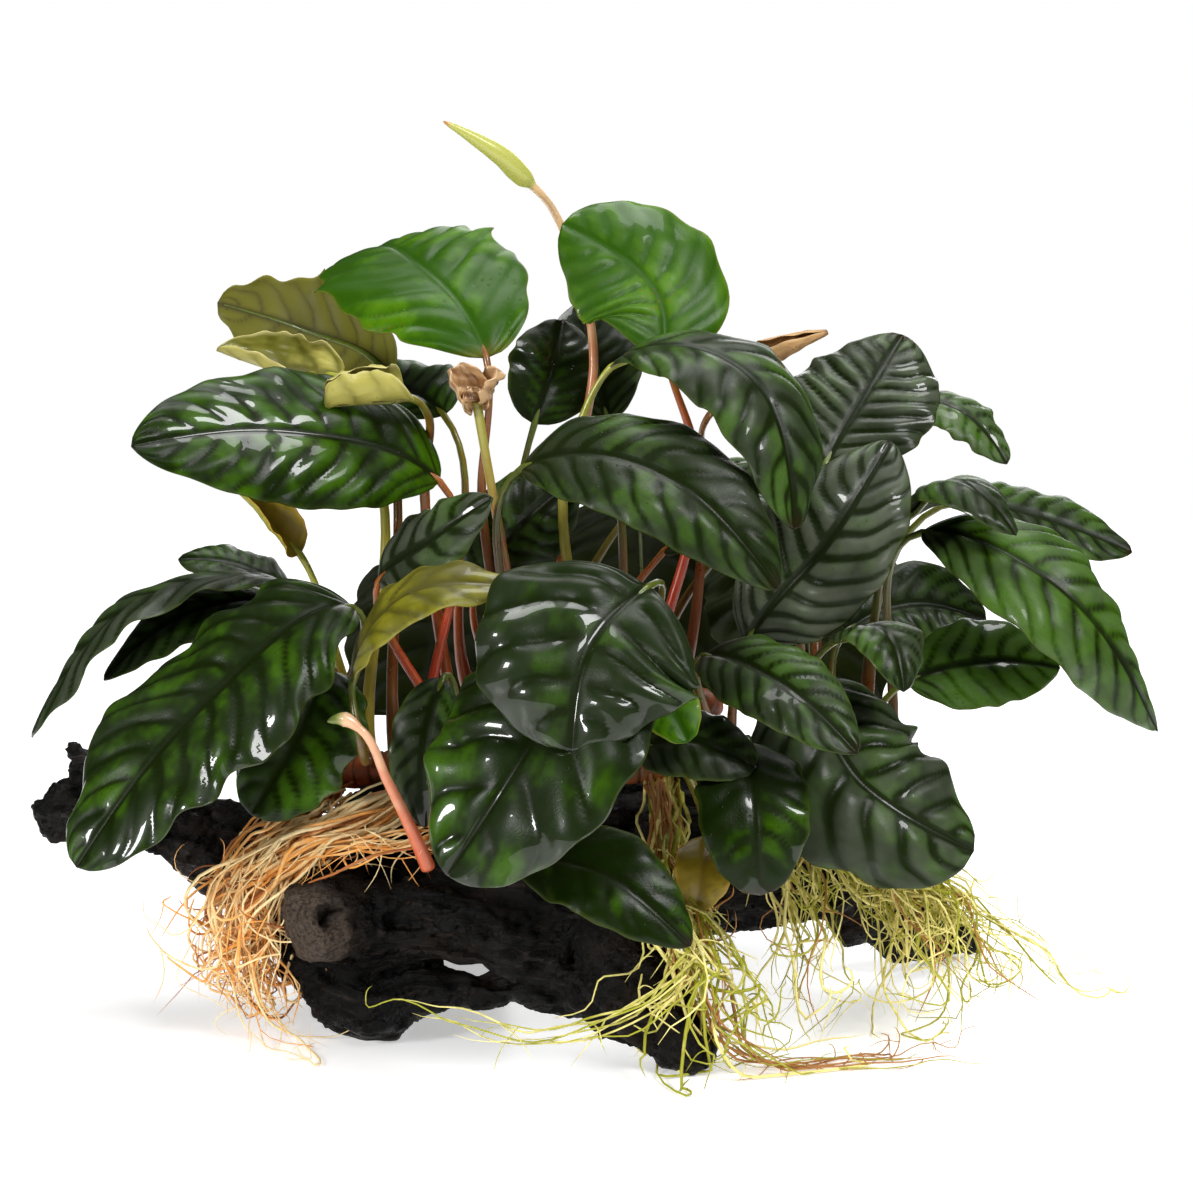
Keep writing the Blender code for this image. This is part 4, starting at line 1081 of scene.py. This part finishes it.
def grow(skin, mass, rng):
    """A root of a mass, with a hooked end now and then, and its side roots."""
    scatter = rng.normal(0, 0.42, 3)
    drift = rng.normal(0, 0.28, (len(mass.through), 3))
    used = max(3, round(rng.uniform(mass.reach, 1.0) ** 0.8 * len(mass.through)))
    points = []
    for (x, y, z, spread), own in zip(mass.through[:used], drift):
        move = (scatter + own) * spread
        points.append(Vector((x + move[0], y + move[1] * 0.8, max(z + move[2] * 0.8, FLOOR_GAP))))
    if rng.random() < 0.3:
        side = rng.choice([-1, 1])
        for aside, ahead, up in (((6, 13), (-6, 3), (0, 5)), ((-3, 6), (-4, 4), (5, 11))):
            turn = (side * rng.uniform(*aside), rng.uniform(*ahead), rng.uniform(*up))
            points.append(points[-1] + Vector(turn))
    marks = {"lively": rng.uniform(0, 1), "stain": float(rng.random() < mass.brown)}
    line, radii = strand(skin, points, mass.radius * rng.uniform(0.45, 1.3), mass.curl, rng, marks)
    for _ in range(rng.integers(0, 4)):
        start = int(len(line) * rng.uniform(0.3, 0.9))
        way = Vector(rng.normal(0, 1, 3)).normalized() - Vector((0, 0, 0.5))
        middle = line[start] + way * rng.uniform(4, 9)
        end = middle + way * rng.uniform(2, 9) + Vector((rng.normal(0, 3), rng.normal(0, 3), -3))
        strand(skin, [line[start], middle, end], 0.55 * radii[start] + 0.08, 0.8, rng, marks, 4, 4)


def build_roots():
    tan = root_material("roots_tan", (0.90, 0.40, 0.080), (1.00, 0.80, 0.42), (0.42, 0.13, 0.025))
    green = root_material("roots_green", (0.38, 0.38, 0.012), (1.00, 0.88, 0.32), (0.46, 0.20, 0.045))
    for name, masses in MASSES.items():
        skin = Skin()
        for mass in masses:
            rng = np.random.default_rng(mass.seed)
            for _ in range(mass.count):
                grow(skin, mass, rng)
        material, slot = (tan, "roots_tan") if name == "roots_left" else (green, "roots_green")
        skin.piece(name + "_skin", [material], slot, name)


# ---------------------------------------------------------------- floor, light and camera
FLOOR_RADIUS = 1.0
CAMERA_TARGET = Vector((0.0, 0.0, 0.148))
CAMERA_DISTANCE = 1.16
CAMERA_DOWN = math.radians(12)
LAMP_TARGET = (0, 0, 0.15)
# each lamp: its place, its width and height, and its power in watts
LAMPS = {
    "top_softbox": ((0.1, 0.40, 1.5), (1.1, 0.8), 18.0),
    "left_softbox": ((-0.9, -0.8, 0.55), (0.25, 0.25), 9.0),
    "front_softbox": ((0.70, -0.75, 1.20), (0.60, 0.45), 18.0),
    "back_softbox": ((0.3, 1.5, 0.7), (0.9, 0.7), 6.0),
}
WORLD_LIGHT = 0.045         # of the white world, where the camera does not look straight at it


def build_stage():
    material = Shade("pale_floor")
    speck = material.noise(30.0, 2.0)
    colour = material.mix(speck, (0.88, 0.88, 0.88), (0.92, 0.92, 0.92))
    paint = material.finish(Base_Color=colour, Roughness=0.3, Emission_Color=(1.0, 1.0, 1.0),
                            Emission_Strength=0.45)
    bpy.ops.mesh.primitive_circle_add(vertices=96, radius=FLOOR_RADIUS, fill_type="NGON")
    floor = bpy.context.object
    floor.name = "floor"
    floor.data.materials.append(paint)


def soft_light(name, place, size, power):
    data = bpy.data.lights.new(name, "AREA")
    data.shape = "RECTANGLE"
    data.size, data.size_y = size
    data.energy = power
    lamp = bpy.data.objects.new(name, data)
    lamp.location = place
    lamp.rotation_euler = (Vector(LAMP_TARGET) - Vector(place)).to_track_quat("-Z", "Y").to_euler()
    bpy.context.scene.collection.objects.link(lamp)


def build_light():
    for name, lamp in LAMPS.items():
        soft_light(name, *lamp)
    world = bpy.data.worlds.new("studio")
    bpy.context.scene.world = world
    world.use_nodes = True
    nodes, links = world.node_tree.nodes, world.node_tree.links
    background = nodes["Background"]
    background.inputs["Color"].default_value = (1.0, 1.0, 1.0, 1.0)
    rays = nodes.new("ShaderNodeLightPath")
    strength = nodes.new("ShaderNodeMapRange")
    strength.inputs["To Min"].default_value = WORLD_LIGHT
    strength.inputs["To Max"].default_value = 1.0
    links.new(rays.outputs["Is Camera Ray"], strength.inputs["Value"])
    links.new(strength.outputs["Result"], background.inputs["Strength"])


def build_camera():
    data = bpy.data.cameras.new("camera")
    data.lens = 100.0
    data.sensor_width = 36.0
    data.clip_start = 0.01
    camera = bpy.data.objects.new("camera", data)
    away = Vector((0, -math.cos(CAMERA_DOWN), math.sin(CAMERA_DOWN)))
    camera.location = CAMERA_TARGET + away * CAMERA_DISTANCE
    camera.rotation_euler = (math.pi / 2 - CAMERA_DOWN, 0, 0)
    bpy.context.scene.collection.objects.link(camera)
    bpy.context.scene.camera = camera
    bpy.context.scene.view_settings.view_transform = "Standard"


build_camera()
build_leaves()
build_wood()
build_rhizomes()
build_bud()
build_withered_spathe()
build_pink_stalk()
build_roots()
build_stage()
build_light()
